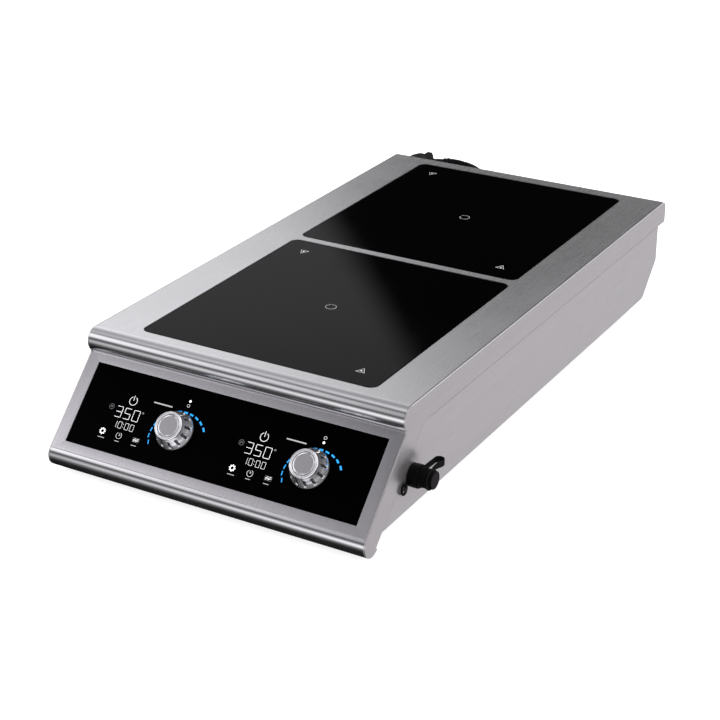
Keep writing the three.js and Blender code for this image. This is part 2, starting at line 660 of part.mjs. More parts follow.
// out of the gland, inwards through the outer layer, outwards through the inner one, to the plug
function powerCord() {
  const points = [
    vec(GLAND_X, 351, GLAND_Z),
    vec(GLAND_X, 364, GLAND_Z),
    vec(GLAND_X, 376, GLAND_Z),
    vec(GLAND_X - 0.3, 388, GLAND_Z + 0.6),
    vec(GLAND_X - 2, 397, GLAND_Z + 4),
    vec(GLAND_X - 6, 402, GLAND_Z + 11),
  ];
  for (let angle = 30; angle <= 720; angle += 15)
    points.push(coilPoint(angle, angle / 720, OUTER_LAYER_Y));
  for (let angle = 735; angle <= 1530; angle += 15) {
    const step = Math.min(1, (angle - 720) / 75);
    const eased = step * step * (3 - 2 * step);
    const y = OUTER_LAYER_Y + (INNER_LAYER_Y - OUTER_LAYER_Y) * eased;
    points.push(coilPoint(angle, 1 - (angle - 720) / 720, y));
  }
  points.push(
    vec(COIL_X - 14, INNER_LAYER_Y + 0.4, COIL_Z + 45.2),
    vec(COIL_X - 25, INNER_LAYER_Y + 1.4, COIL_Z + 42),
    vec(PLUG.x + 7.5, PLUG.y - 0.2, PLUG.z + 0.8),
    vec(PLUG.x - 2, PLUG.y, PLUG.z + PLUG_CORD_Z),
  );
  const extrudePath = new THREE.CatmullRomCurve3(points, false, "centripetal");
  const options = { steps: 120, bevelEnabled: false, extrudePath };
  return solid(new THREE.ExtrudeGeometry(toShape(circle(0, 0, CORD_RADIUS, 6)), options));
}
add("power_cord", powerCord(), "cord");

// moulded right-angle body with a collar, two blades and an earth pin pointing rearwards
function powerPlug() {
  const collar = turned([[0, 0], [7.2, 0], [6.4, 8], [0, 8]], 16)
    .rotate([0, 90, 0])
    .translate([-0.5, 0, PLUG_CORD_Z]);
  const blade = (left) => box(left, left + 1.5, 9, 24, -3.2, 3.2);
  return cut(
    join(
      prismY(PLUG_OUTLINE, -9.5, 9.5),
      collar,
      blade(PLUG_PIN_X - 7.1),
      blade(PLUG_PIN_X + 5.6),
      prismY(circle(PLUG_PIN_X, -8.4, 2.4, 12), 8, 26),
    ),
    prismX(circle(0, PLUG_CORD_Z, 5.1, 16), -4.5, 11.5),
  ).translate([PLUG.x, PLUG.y, PLUG.z]);
}
add("power_plug", powerPlug(), "cord");

// two hook-and-loop ties hold the turns together
const TIE_FRONT = INNER_LAYER_Y - CORD_RADIUS - 0.8; // inside faces of both ties
const TIE_BACK = OUTER_LAYER_Y + CORD_RADIUS + 0.8;
const TIE_WALL = 1.2;
const TIE_WALL_Y = 1.3; // wall on the front and back

function leftTie() {
  const left = COIL_X - 43.9 - CORD_RADIUS - 1.2;
  const right = COIL_X - 33.7 + CORD_RADIUS + 1.8;
  const outer = roundedRect(
    left - TIE_WALL, right + TIE_WALL, TIE_FRONT - TIE_WALL_Y, TIE_BACK + TIE_WALL_Y, 4, 2,
  );
  const inner = roundedRect(left, right, TIE_FRONT, TIE_BACK, 3, 2);
  return prismZ(outer, COIL_Z - 6, COIL_Z + 6, [inner]);
}
add("cord_tie_left", leftTie(), "rubber");

function bottomTie() {
  const bottom = COIL_Z - 41.3 - CORD_RADIUS - 1.1;
  const top = COIL_Z - 26.1 + CORD_RADIUS + 1.1;
  const outer = roundedRect(
    TIE_FRONT - TIE_WALL_Y, TIE_BACK + TIE_WALL_Y, bottom - TIE_WALL, top + TIE_WALL, 4, 2,
  );
  const inner = roundedRect(TIE_FRONT, TIE_BACK, bottom, top, 3, 2);
  return prismX(outer, COIL_X - 6, COIL_X + 6, [inner]);
}
add("cord_tie_bottom", bottomTie(), "rubber");

export default group;
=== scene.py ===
"""Induction hob with two cooking zones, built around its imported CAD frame.

Front, with the sloping control fascia, is -Y; the rear, with vents and power cord, is +Y;
+X is the right side and +Z is up. The underside of the pan is at z = 0.
Sizes are in millimetres and angles in degrees unless a comment says otherwise.
"""
import bpy
import bmesh
import math
from mathutils import Vector, Matrix

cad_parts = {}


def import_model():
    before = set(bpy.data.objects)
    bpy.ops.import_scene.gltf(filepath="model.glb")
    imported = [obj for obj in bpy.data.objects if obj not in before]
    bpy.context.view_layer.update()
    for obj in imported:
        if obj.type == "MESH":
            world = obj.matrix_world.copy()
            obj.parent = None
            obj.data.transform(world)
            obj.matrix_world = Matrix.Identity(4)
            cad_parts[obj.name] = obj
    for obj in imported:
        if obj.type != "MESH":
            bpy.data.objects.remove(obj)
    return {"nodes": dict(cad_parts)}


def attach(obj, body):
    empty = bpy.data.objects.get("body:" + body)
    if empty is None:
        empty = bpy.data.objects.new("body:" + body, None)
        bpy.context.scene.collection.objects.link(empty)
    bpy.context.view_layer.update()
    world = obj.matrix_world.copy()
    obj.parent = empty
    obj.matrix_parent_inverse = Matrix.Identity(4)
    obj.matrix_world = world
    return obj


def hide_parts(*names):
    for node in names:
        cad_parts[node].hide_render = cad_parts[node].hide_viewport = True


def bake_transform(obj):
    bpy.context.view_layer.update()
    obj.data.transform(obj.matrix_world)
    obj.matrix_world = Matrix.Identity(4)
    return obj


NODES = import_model()["nodes"]
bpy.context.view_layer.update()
scene = bpy.context.scene
MM = 0.001
RAD = math.pi / 180

# ------------------------------------------------------------------ dimensions shared with the frame
HALF_W, CHEEK_T, SHEET_T, PAN_T = 192.0, 1.6, 1.5, 1.6
SKIN_HALF = 190.3                                # half width of the nose and fascia skins
DECK_Z, SEAM_Z, DECK_HALF = 112.0, 84.0, 189.9
REAR_Y, REAR_R = 379.0, 10.0                     # rear end of the deck and its bend
NOSE_Y, NOSE_Z, NOSE_R = -287.0, 97.8, 14.2      # roll between deck and fascia
LIP_Y, LIP_Z, LIP_R = -364.3, -3.0, 14.2         # roll under the fascia
FASCIA_DEG, FASCIA_Y, FASCIA_Z = 45.28, -367.53, 14.4
WINDOW_HALF, WINDOW_TOP = 176.3, 91.4            # control window on the fascia
FASCIA_TOP = 101.2
SEAM_Y = -346.0                                  # y of the 45-degree cheek seam at z = 0
PAN_REAR, PAN_TOP = 358.0, 83.6
GLASS_HALF, GLASS_R, GLASS_T, GLASS_DROP = 141.15, 8.5, 6.0, 0.2
GLASS = {"front": (-272.2, 32.8), "rear": (46.4, 352.0)}
GLASS_TOP = DECK_Z - GLASS_DROP
GAP = 1.6                                        # from the glass to the edge of the deck opening
KNOB_X = {"left": -54.45, "right": 106.85}
KNOB_V = 41.4                                    # knob height along the fascia
PROBE_Y, PROBE_Z = -286.0, 36.5
FOOT_X, FOOT_Y = 145, {"front": -290, "rear": 284}
GLAND_X, GLAND_Z = -42.0, 57.0

# directions up the fascia and out of it, as (y, z)
UPHILL = (math.cos(FASCIA_DEG * RAD), math.sin(FASCIA_DEG * RAD))
OUTWARD = (-UPHILL[1], UPHILL[0])


def on_fascia(v, height=0.0):
    return (FASCIA_Y + UPHILL[0] * v + OUTWARD[0] * height,
            FASCIA_Z + UPHILL[1] * v + OUTWARD[1] * height)


def fascia3(u, v, w):
    return (u, *on_fascia(v, w))


def probe3(u, v, w):
    """Probe socket frame on the right side: u down, v to the rear, w outward."""
    return (HALF_W + w, PROBE_Y + v, PROBE_Z - u)


def gland3(u, v, w):
    """Cord gland frame: w runs out of the rear face."""
    return (GLAND_X + u, PAN_REAR + w, GLAND_Z + v)


# drawing planes: the map of (u, v, level) to space, and the plane's normal
PLAN = (lambda u, v, w: (u, v, w), (0, 0, 1))
ACROSS = (lambda u, v, w: (w, u, v), (1, 0, 0))
LENGTHWISE = (lambda u, v, w: (u, w, v), (0, 1, 0))
FASCIA = (fascia3, (0, *OUTWARD))
PROBE_SIDE = (probe3, (1, 0, 0))


def arc(cx, cy, r, start, end, steps):
    angles = [(start + (end - start) * i / steps) * RAD for i in range(steps + 1)]
    return [(cx + r * math.cos(a), cy + r * math.sin(a)) for a in angles]


def rounded(x0, x1, y0, y1, r, steps=10):
    return (arc(x1 - r, y0 + r, r, -90, 0, steps) + arc(x1 - r, y1 - r, r, 0, 90, steps)
            + arc(x0 + r, y1 - r, r, 90, 180, steps) + arc(x0 + r, y0 + r, r, 180, 270, steps))


def circle(cx, cy, r, steps):
    return arc(cx, cy, r, 0, 360 - 360 / steps, steps - 1)


# ------------------------------------------------------------------ shader nodes
class Nodes:
    """Adds and links nodes in one shader tree, which it empties first."""

    def __init__(self, owner):
        owner.use_nodes = True
        self.tree = owner.node_tree
        self.tree.nodes.clear()

    def node(self, kind, **settings):
        node = self.tree.nodes.new("ShaderNode" + kind)
        for key, value in settings.items():
            setattr(node, key, value)
        return node

    def put(self, socket, value):
        """Feeds a socket with a number, a colour or another socket."""
        if isinstance(value, tuple):
            socket.default_value = (*value, 1)
        elif isinstance(value, (int, float)):
            socket.default_value = value
        else:
            self.tree.links.new(value, socket)

    def calc(self, operation, first, second=None):
        node = self.node("Math", operation=operation)
        self.put(node.inputs[0], first)
        if second is not None:
            self.put(node.inputs[1], second)
        return node.outputs[0]

    def remap(self, value, low, high, to_low=0.0, to_high=1.0, kind="LINEAR"):
        node = self.node("MapRange", interpolation_type=kind)
        limits = (("From Min", low), ("From Max", high), ("To Min", to_low), ("To Max", to_high))
        for name, limit in limits:
            node.inputs[name].default_value = limit
        self.put(node.inputs["Value"], value)
        return node.outputs[0]

    def mix(self, factor, a, b):
        node = self.node("Mix", data_type="RGBA")
        # 0 is the number factor; 6, 7 and output 2 are the colour sockets
        for index, value in ((0, factor), (6, a), (7, b)):
            self.put(node.inputs[index], value)
        return node.outputs[2]

    def glossy_switch(self, plain, glossy, surface):
        """Shows one shader to glossy rays and the other to all the rest."""
        node = self.node("MixShader")
        self.put(node.inputs[0], self.node("LightPath").outputs["Is Glossy Ray"])
        self.put(node.inputs[1], plain)
        self.put(node.inputs[2], glossy)
        self.put(surface, node.outputs[0])


class Material(Nodes):
    """A node material with one Principled shader."""

    def __init__(self, name, base, rough, metallic=0.0, ior=1.45, spec=0.5):
        self.material = bpy.data.materials.new(name)
        super().__init__(self.material)
        output = self.node("OutputMaterial")
        self.shader = self.node("BsdfPrincipled")
        self.put(output.inputs[0], self.shader.outputs[0])
        self.set("Base Color", base)
        self.set("Roughness", rough)
        self.set("Metallic", metallic)
        self.set("IOR", ior)
        self.set("Specular IOR Level", spec)
        self.material.diffuse_color = (*base, 1)

    def set(self, name, value):
        self.put(self.shader.inputs[name], value)

    def noise(self, scale, detail, rough):
        """Noise in object space; scale is features per metre, one number or one per axis."""
        node = self.node("TexNoise")
        node.inputs["Scale"].default_value = 1.0
        node.inputs["Detail"].default_value = detail
        node.inputs["Roughness"].default_value = rough
        mapping = self.node("Mapping")
        scales = scale if isinstance(scale, tuple) else (scale,) * 3
        mapping.inputs["Scale"].default_value = scales
        self.put(mapping.inputs["Vector"], self.node("TexCoord").outputs["Object"])
        self.put(node.inputs["Vector"], mapping.outputs[0])
        return node.outputs["Fac"]

    def bump(self, height, strength, depth):
        node = self.node("Bump")
        node.inputs["Strength"].default_value = strength
        node.inputs["Distance"].default_value = depth * MM
        self.put(node.inputs["Height"], height)
        self.set("Normal", node.outputs[0])


def scaled(color, factor):
    return tuple(min(1.0, channel * factor) for channel in color)


# noise density (fine, medium, wide) across and along the brushing;
# S is the grain shared by the deck and the sloping fascia
GRAIN = {
    "Y": ((3600, 22, 3600), (520, 7, 520), (90, 3, 90)),
    "S": ((3600, 22, 22), (520, 9, 9), (90, 4, 4)),
    "X": ((22, 3600, 3600), (7, 520, 520), (3, 90, 90)),
}


def steel(name, base, rough, grain, aniso, streak=0.05, bump=0.12, tangent=(1, 0, 0),
          metallic=0.92):
    """Brushed stainless steel."""
    m = Material(name, base, rough, metallic)
    fine_scale, medium_scale, wide_scale = GRAIN[grain]
    fine = m.noise(fine_scale, detail=2.0, rough=0.7)
    medium = m.noise(medium_scale, detail=4.0, rough=0.65)
    wide = m.noise(wide_scale, detail=2.0, rough=0.5)
    coarse = m.calc("ADD", m.calc("MULTIPLY", medium, 0.45), m.calc("MULTIPLY", wide, 0.2))
    streaks = m.calc("ADD", m.calc("MULTIPLY", fine, 0.35), coarse)
    m.set("Base Color", m.mix(m.remap(streaks, low=0.32, high=0.68),
                              scaled(base, 1 - streak), scaled(base, 1 + streak)))
    smudge = m.noise(9.0, detail=3.0, rough=0.5)
    m.set("Roughness", m.calc(
        "ADD", m.remap(fine, low=0.3, high=0.7, to_low=rough - 0.03, to_high=rough + 0.03),
        m.remap(smudge, low=0.35, high=0.65, to_low=-0.012, to_high=0.02)))
    relief = m.calc("ADD", m.calc("MULTIPLY", fine, 0.7), m.calc("MULTIPLY", medium, 0.5))
    m.bump(relief, strength=bump, depth=0.02)
    m.set("Anisotropic", aniso)
    direction = m.node("CombineXYZ")
    for socket, part in zip(direction.inputs, tangent):
        socket.default_value = part
    m.set("Tangent", direction.outputs[0])
    return m.material


def plastic(name, base, rough, grain, bump=0.25, spec=0.5, depth=0.06):
    m = Material(name, base, rough, spec=spec)
    fine = m.noise(grain, detail=2.0, rough=0.6)
    broad = m.noise(40, detail=3.0, rough=0.5)
    m.set("Base Color", m.mix(m.remap(broad, low=0.35, high=0.65),
                              scaled(base, 0.86), scaled(base, 1.18)))
    m.set("Roughness", m.calc(
        "ADD", m.remap(fine, low=0.3, high=0.7, to_low=rough - 0.06, to_high=rough + 0.06),
        m.remap(broad, low=0.3, high=0.7, to_low=-0.03, to_high=0.03)))
    m.bump(fine, strength=bump, depth=depth)
    return m.material


def black_glass(name, base, rough, spec, dust, second=None):
    """Black glass; second is the mirror strength met by rays that don't come from the camera.
    Without it the mirror weakens towards grazing angles."""
    m = Material(name, base, rough, ior=1.5, spec=spec)
    if second:
        direct = m.node("LightPath").outputs["Is Camera Ray"]
        mirror = m.remap(direct, low=0.0, high=1.0, to_low=second, to_high=spec)
    else:
        facing = m.node("LayerWeight").outputs["Facing"]
        mirror = m.remap(facing, low=0.60, high=0.69, to_low=spec * 0.86, to_high=spec * 0.50)
    m.set("Specular IOR Level", mirror)
    smear = m.noise((14, 10, 14), detail=4.0, rough=0.6)
    specks = m.noise(1500, detail=1.0, rough=0.5)
    m.set("Roughness", m.calc(
        "ADD", m.remap(smear, low=0.42, high=0.75, to_low=rough, to_high=rough + 0.03),
        m.remap(specks, low=0.62, high=0.8, to_low=0.0, to_high=0.05)))
    m.set("Base Color", m.mix(m.remap(specks, low=0.72, high=0.85),
                              base, tuple(channel + dust for channel in base)))
    m.bump(m.noise(6, detail=1.0, rough=0.4), strength=0.02, depth=0.1)
    return m.material


def metal(name, base, rough, grain, vary, bump, metallic=1.0):
    m = Material(name, base, rough, metallic)
    texture = m.noise(grain, detail=3.0, rough=0.6)
    m.set("Base Color", m.mix(m.remap(texture, low=0.3, high=0.7),
                              scaled(base, 1 - vary), scaled(base, 1 + vary)))
    m.set("Roughness", m.remap(texture, low=0.3, high=0.7,
                               to_low=max(0.02, rough - 0.05), to_high=rough + 0.05))
    m.bump(texture, strength=bump, depth=0.02)
    return m.material


def glow(name, color, strength, base):
    m = Material(name, base, rough=0.35)
    texture = m.noise(700, detail=2.0, rough=0.5)
    m.set("Emission Color", m.mix(m.remap(texture, low=0.3, high=0.7),
                                  scaled(color, 0.93), color))
    m.set("Emission Strength", strength)
    return m.material


MAT = {
    "deck": steel("deck_brushed_steel", (0.62, 0.62, 0.625), rough=0.285, grain="S",
                  aniso=0.68, bump=0.004, metallic=0.90),
    "roll": steel("rolled_edge_steel", (0.62, 0.62, 0.63), rough=0.14, grain="S",
                  aniso=0.8, streak=0.03, bump=0.008, metallic=1.0),
    "fascia": steel("fascia_brushed_steel", (0.61, 0.60, 0.625), rough=0.18, grain="S",
                    aniso=0.7, bump=0.006, metallic=0.98),
    "side": steel("side_brushed_steel", (0.60, 0.575, 0.585), rough=0.30, grain="Y",
                  aniso=0.6, streak=0.055, bump=0.012, tangent=(0, 0, 1)),
    "pan": steel("pan_brushed_steel", (0.62, 0.595, 0.605), rough=0.30, grain="Y",
                 aniso=0.6, streak=0.055, bump=0.012, tangent=(0.6, 0, 0.8)),
    "rear": steel("rear_brushed_steel", (0.60, 0.59, 0.60), rough=0.34, grain="X",
                  aniso=0.5, bump=0.08, tangent=(0, 0, 1)),
    "cook": black_glass("cooking_glass", (0.0002, 0.0002, 0.0003), rough=0.035,
                        spec=0.038, dust=0.0009),
    "panel": black_glass("control_glass", (0.0002, 0.0002, 0.0004), rough=0.03,
                         spec=0.012, dust=0.0006, second=0.5),
    "seal": plastic("edge_seal_silicone", (0.003, 0.003, 0.003), rough=0.75, grain=800,
                    spec=0.15),
    "chrome": metal("knob_chrome", (0.84, 0.84, 0.86), rough=0.10, grain=60, vary=0.02, bump=0.0),
    "skirt": metal("knob_skirt", (0.80, 0.80, 0.82), rough=0.13, grain=60, vary=0.03,
                   bump=0.0, metallic=0.97),
    # painted shade: the sunk grip slots of the knob get dark metal instead of the skirt's bright
    # metal
    "knob_slot": metal("knob_slot_painted_shade", (0.10, 0.10, 0.105), rough=0.28, grain=60,
                       vary=0.1, bump=0.0),
    # painted shade: the pan's rounded bends get the pan steel at about half its brightness, a dark
    # line along its edges
    "bend": steel("pan_bend_painted_shade", (0.30, 0.285, 0.29), rough=0.32, grain="Y",
                  aniso=0.5, bump=0.01, tangent=(0.6, 0, 0.8)),
    "satin": metal("knob_satin", (0.45, 0.44, 0.46), rough=0.42, grain=2600, vary=0.05,
                   bump=0.12),
    "black": plastic("black_moulded_plastic", (0.0012, 0.0012, 0.0013), rough=0.42,
                     grain=1200, spec=0.05),
    "grey_end": plastic("cap_end_plastic", (0.0095, 0.008, 0.0095), rough=0.55,
                        grain=1200, spec=0.07),
    "rubber": plastic("soft_black_rubber", (0.002, 0.0018, 0.002), rough=0.62, grain=1600,
                      bump=0.35, spec=0.07),
    "plug": plastic("plug_moulding", (0.004, 0.0036, 0.004), rough=0.5, grain=900,
                    bump=0.15, spec=0.10),
    "cord": plastic("cord_jacket", (0.002, 0.002, 0.0022), rough=0.38, grain=700,
                    bump=0.12, spec=0.07),
    "tie": plastic("hook_and_loop", (0.014, 0.014, 0.015), rough=0.9, grain=2600,
                   bump=0.8, spec=0.2, depth=0.25),
    "foot": plastic("foot_plastic", (0.008, 0.008, 0.0085), rough=0.5, grain=900, spec=0.25),
    "zinc": metal("zinc_plated", (0.55, 0.56, 0.57), rough=0.36, grain=260, vary=0.14, bump=0.2),
    "alu": metal("mill_aluminium", (0.66, 0.67, 0.68), rough=0.38, grain=(900, 60, 900),
                 vary=0.06, bump=0.15),
    "copper": metal("litz_copper", (0.50, 0.21, 0.10), rough=0.42, grain=1500, vary=0.25,
                    bump=0.6),
    "brass": metal("brass", (0.62, 0.48, 0.24), rough=0.3, grain=900, vary=0.08, bump=0.1),
    "screw": metal("screw_stainless", (0.58, 0.58, 0.60), rough=0.28, grain=1200, vary=0.1,
                   bump=0.1),
    "dark_screw": metal("black_oxide_screw", (0.035, 0.035, 0.037), rough=0.34, grain=1200,
                        vary=0.1, bump=0.1),
    # painted sheen: a lighter grey for the faces of the black plug block that turn towards the front
    "plug_sheen_face": plastic("plug_painted_sheen_face", (0.032, 0.030, 0.032), rough=0.6, grain=900,
                         bump=0.15, spec=0.1),
    "carrier": plastic("carrier_plastic", (0.52, 0.48, 0.40), rough=0.6, grain=500),
    "ferrite": plastic("ferrite", (0.035, 0.035, 0.037), rough=0.7, grain=400, bump=0.5),
    "pcb": plastic("circuit_board", (0.012, 0.085, 0.03), rough=0.35, grain=300, bump=0.2),
    "print": plastic("glass_print", (0.62, 0.62, 0.62), rough=0.5, grain=900, bump=0.1),
    "white": glow("print_white", (1.0, 1.0, 1.0), strength=1.5, base=(0.08, 0.08, 0.08)),
    "dim": glow("print_dim", (0.60, 0.60, 0.62), strength=0.34, base=(0.03, 0.03, 0.03)),
    "grey": glow("print_grey", (0.85, 0.85, 0.88), strength=0.62, base=(0.05, 0.05, 0.05)),
    "led": glow("led_blue", (0.012, 0.40, 1.0), strength=1.1, base=(0.0, 0.05, 0.12)),
    "plate": metal("rating_plate", (0.62, 0.62, 0.63), rough=0.5, grain=700, vary=0.04,
                   bump=0.1),
}


# ------------------------------------------------------------------ mesh helpers
def link_object(name, mesh, mats):
    ob = bpy.data.objects.new(name, mesh)
    scene.collection.objects.link(ob)
    for mat in mats if isinstance(mats, (list, tuple)) else [mats]:
        mesh.materials.append(mat)
    return ob


def new_object(name, verts, faces, mats, face_mats=None, scale=MM, recalc=True):
    mesh = bpy.data.meshes.new(name)
    mesh.from_pydata([tuple(c * scale for c in v) for v in verts], [], faces)
    mesh.update()
    ob = link_object(name, mesh, mats)
    if face_mats:
        mesh.polygons.foreach_set("material_index", face_mats)
    if recalc:
        bm = bmesh.new()
        bm.from_mesh(mesh)
        bmesh.ops.recalc_face_normals(bm, faces=bm.faces)
        bm.to_mesh(mesh)
        bm.free()
    return ob


def from_bm(name, bm, mats):
    bmesh.ops.recalc_face_normals(bm, faces=bm.faces)
    mesh = bpy.data.meshes.new(name)
    bm.to_mesh(mesh)
    bm.free()
    mesh.transform(Matrix.Scale(MM, 4))
    return link_object(name, mesh, mats)


def finish_mesh(ob, angle=32, weighted=True):
    """Applies modifiers, then shades smooth with sharp edges above an angle."""
    depsgraph = bpy.context.evaluated_depsgraph_get()
    if ob.modifiers:
        mesh = bpy.data.meshes.new_from_object(ob.evaluated_get(depsgraph))
        ob.modifiers.clear()
        old = ob.data
        ob.data = mesh
        bpy.data.meshes.remove(old)
    smooth_faces(ob.data, angle)
    if weighted:
        normals = ob.modifiers.new("wn", "WEIGHTED_NORMAL")
        normals.keep_sharp = True
        normals.weight = 60


def smooth_faces(mesh, angle):
    mesh.polygons.foreach_set("use_smooth", [True] * len(mesh.polygons))
    mesh.set_sharp_from_angle(angle=angle * RAD)


def place(ob, angle=32, weighted=True, body="housing", node=None):
    """Finishes a piece and puts it on its body, in place of a frame node if one is given."""
    finish_mesh(ob, angle, weighted)
    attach(ob, body)
    if node:
        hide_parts(node)


def bevel(ob, width, segments=2, angle=32):
    modifier = ob.modifiers.new("bevel", "BEVEL")
    modifier.width = width * MM
    modifier.segments = segments
    modifier.limit_method = "ANGLE"
    modifier.angle_limit = angle * RAD
    modifier.miter_outer = "MITER_ARC"
    return ob


def solidify(ob, thickness):
    """Thickens an open skin inward."""
    modifier = ob.modifiers.new("solid", "SOLIDIFY")
    modifier.thickness = thickness * MM
    modifier.offset = -1.0
    modifier.use_even_offset = True
    return ob


def orient(ob, point, normal):
    """Flips an open skin when its face nearest to a point faces away from the normal."""
    nearest = min(ob.data.polygons, key=lambda face: (face.center - Vector(point) * MM).length)
    if nearest.normal.dot(Vector(normal)) < 0:
        ob.data.flip_normals()


def vertex_pool(bm):
    """Returns a function that gives the vertex at a point, shared with any equal one."""
    def key_of(point):
        return tuple(round(c, 4) for c in point)

    pool = {key_of(v.co): v for v in bm.verts}

    def vertex(point):
        key = key_of(point)
        if key not in pool:
            pool[key] = bm.verts.new(point)
        return pool[key]
    return vertex


def fill(bm, loops, plane, level):
    """Fills an outline with holes at a level of a drawing plane."""
    to_space, normal = plane
    vertex = vertex_pool(bm)
    edges = []
    for loop in loops:
        verts = [vertex(to_space(*p, level)) for p in loop]
        for a, b in zip(verts, verts[1:] + verts[:1]):
            if a is not b:
                edges.append(bm.edges.get((a, b)) or bm.edges.new((a, b)))
    bmesh.ops.triangle_fill(bm, use_beauty=True, use_dissolve=False, edges=edges, normal=normal)


def strip(bm, profile, stations, mat=0):
    """Quads along a (y, z) polyline between x stations."""
    vertex = vertex_pool(bm)
    for a, b in zip(profile, profile[1:]):
        for x0, x1 in zip(stations, stations[1:]):
            corners = ((x0, *a), (x1, *a), (x1, *b), (x0, *b))
            bm.faces.new([vertex(p) for p in corners]).material_index = mat


def prism_bm(outline, low, high, holes, plane):
    bm = bmesh.new()
    fill(bm, [outline, *holes], plane, low)
    made = bmesh.ops.extrude_face_region(bm, geom=list(bm.faces), use_keep_orig=True)["geom"]
    shift = Vector(plane[0](0, 0, high)) - Vector(plane[0](0, 0, low))
    bmesh.ops.translate(bm, vec=shift, verts=[g for g in made if isinstance(g, bmesh.types.BMVert)])
    return bm


def prism(outline, low, high, mats, holes=(), plane=PLAN, name="part"):
    """Closed prism of an outline with holes, between two levels of a drawing plane."""
    return from_bm(name, prism_bm(outline, low, high, holes, plane), mats)


def ring_faces(rings, closed=False):
    """Quads, or triangles at a pole, between successive rings of vertex numbers."""
    faces = []
    for a, b in zip(rings, rings[1:] + (rings[:1] if closed else [])):
        for k in range(len(a)):
            nxt = (k + 1) % len(a)
            face = list(dict.fromkeys([a[k], a[nxt], b[nxt], b[k]]))
            if len(face) > 2:
                faces.append(face)
    return faces


def equal_rings(count, size, first=0):
    return [list(range(first + i * size, first + (i + 1) * size)) for i in range(count)]


def turned(profile, mats, steps, frame=PLAN[0], radius_at=None, ring_mats=None, name="part"):
    """Turned piece from a (radius, height) profile, closed on the axis or on itself.
    radius_at(ring, radius, angle) may shape the rings; ring_mats has one entry per band."""
    closed = profile[0] == profile[-1]
    verts, rings = [], []
    for i, (radius, height) in enumerate(profile[:-1] if closed else profile):
        first = len(verts)
        if radius < 1e-6:
            rings.append([first] * steps)
            verts.append(frame(0, 0, height))
            continue
        rings.append(list(range(first, first + steps)))
        for k in range(steps):
            a = 2 * math.pi * k / steps
            r = radius_at(i, radius, a) if radius_at else radius
            verts.append(frame(r * math.cos(a), r * math.sin(a), height))
    face_mats = ring_mats and [mat for mat in ring_mats for _ in range(steps)]
    return new_object(name, verts, ring_faces(rings, closed), mats, face_mats)


def fluted(count, depth, rings):
    """Cuts flutes into the given rings of a turned piece."""
    def radius_at(ring, radius, angle):
        wave = (0.5 - 0.5 * math.cos(count * angle)) ** 2
        return radius - depth * wave if ring in rings else radius
    return radius_at


def tube(points, radius, mat, sides, closed=False, up=(0, 0, 1), name="part"):
    """Round tube along a fine polyline, its frame carried along without twist."""
    path = [Vector(p) for p in points]
    count = len(path)
    tangents = []
    for i in range(count):
        before = path[i - 1] if closed or i else path[0]
        after = path[(i + 1) % count] if closed or i < count - 1 else path[-1]
        tangents.append((after - before).normalized())
    up = Vector(up)
    normal = (up - tangents[0] * up.dot(tangents[0])).normalized()
    verts = []
    for i, tangent in enumerate(tangents):
        if i:
            axis = tangents[i - 1].cross(tangent)
            if axis.length > 1e-9:
                turn = Matrix.Rotation(tangents[i - 1].angle(tangent), 3, axis.normalized())
                normal = turn @ normal
            normal = (normal - tangent * normal.dot(tangent)).normalized()
        side = tangent.cross(normal)
        for k in range(sides):
            a = 2 * math.pi * k / sides
            offset = normal * (radius * math.cos(a)) + side * (radius * math.sin(a))
            verts.append(tuple(path[i] + offset))
    rings = equal_rings(count, sides)
    faces = ring_faces(rings, closed)
    if not closed:
        faces += [rings[0][::-1], rings[-1]]
    return new_object(name, verts, faces, mat)


def smooth_path(points, per):
    """Centripetal Catmull-Rom curve through points, with a number of steps per span."""
    path = [Vector(p) for p in points]
    path = [2 * path[0] - path[1]] + path + [2 * path[-1] - path[-2]]
    out = []
    for i in range(1, len(path) - 2):
        p = path[i - 1:i + 3]
        knots = [0.0]
        for a, b in zip(p, p[1:]):
            knots.append(knots[-1] + math.sqrt((b - a).length) + 1e-9)
        for k in range(per):
            t = knots[1] + (knots[2] - knots[1]) * k / per

            def between(a, b, low, high):
                span = knots[high] - knots[low]
                return a * ((knots[high] - t) / span) + b * ((t - knots[low]) / span)
            a1, a2, a3 = [between(p[j], p[j + 1], j, j + 1) for j in range(3)]
            out.append(tuple(between(between(a1, a2, 0, 2), between(a2, a3, 1, 3), 1, 2)))
    out.append(tuple(path[-2]))
    return out


def merge(name, parts):
    """Joins parts, their modifiers applied, into one object."""
    mats = list(dict.fromkeys(mat for part in parts for mat in part.data.materials))
    verts, faces, face_mats = [], [], []
    for part in parts:
        if part.modifiers:
            finish_mesh(part, weighted=False)
        mesh = part.data
        first = len(verts)
        verts += [tuple(v.co) for v in mesh.vertices]
        for face in mesh.polygons:
            faces.append([first + i for i in face.vertices])
            face_mats.append(mats.index(mesh.materials[face.material_index]))
        bpy.data.objects.remove(part)
        bpy.data.meshes.remove(mesh)
    return new_object(name, verts, faces, mats, face_mats, scale=1.0, recalc=False)


def axis_frame(origin, axis):
    """Local frame whose z runs along a direction."""
    z = Vector(axis).normalized()
    x = (Vector((0, 0, 1)) if abs(z.z) < 0.9 else Vector((1, 0, 0))).cross(z).normalized()
    y = z.cross(x)
    origin = Vector(origin)
    return lambda a, b, c: tuple(origin + x * a + y * b + z * c)


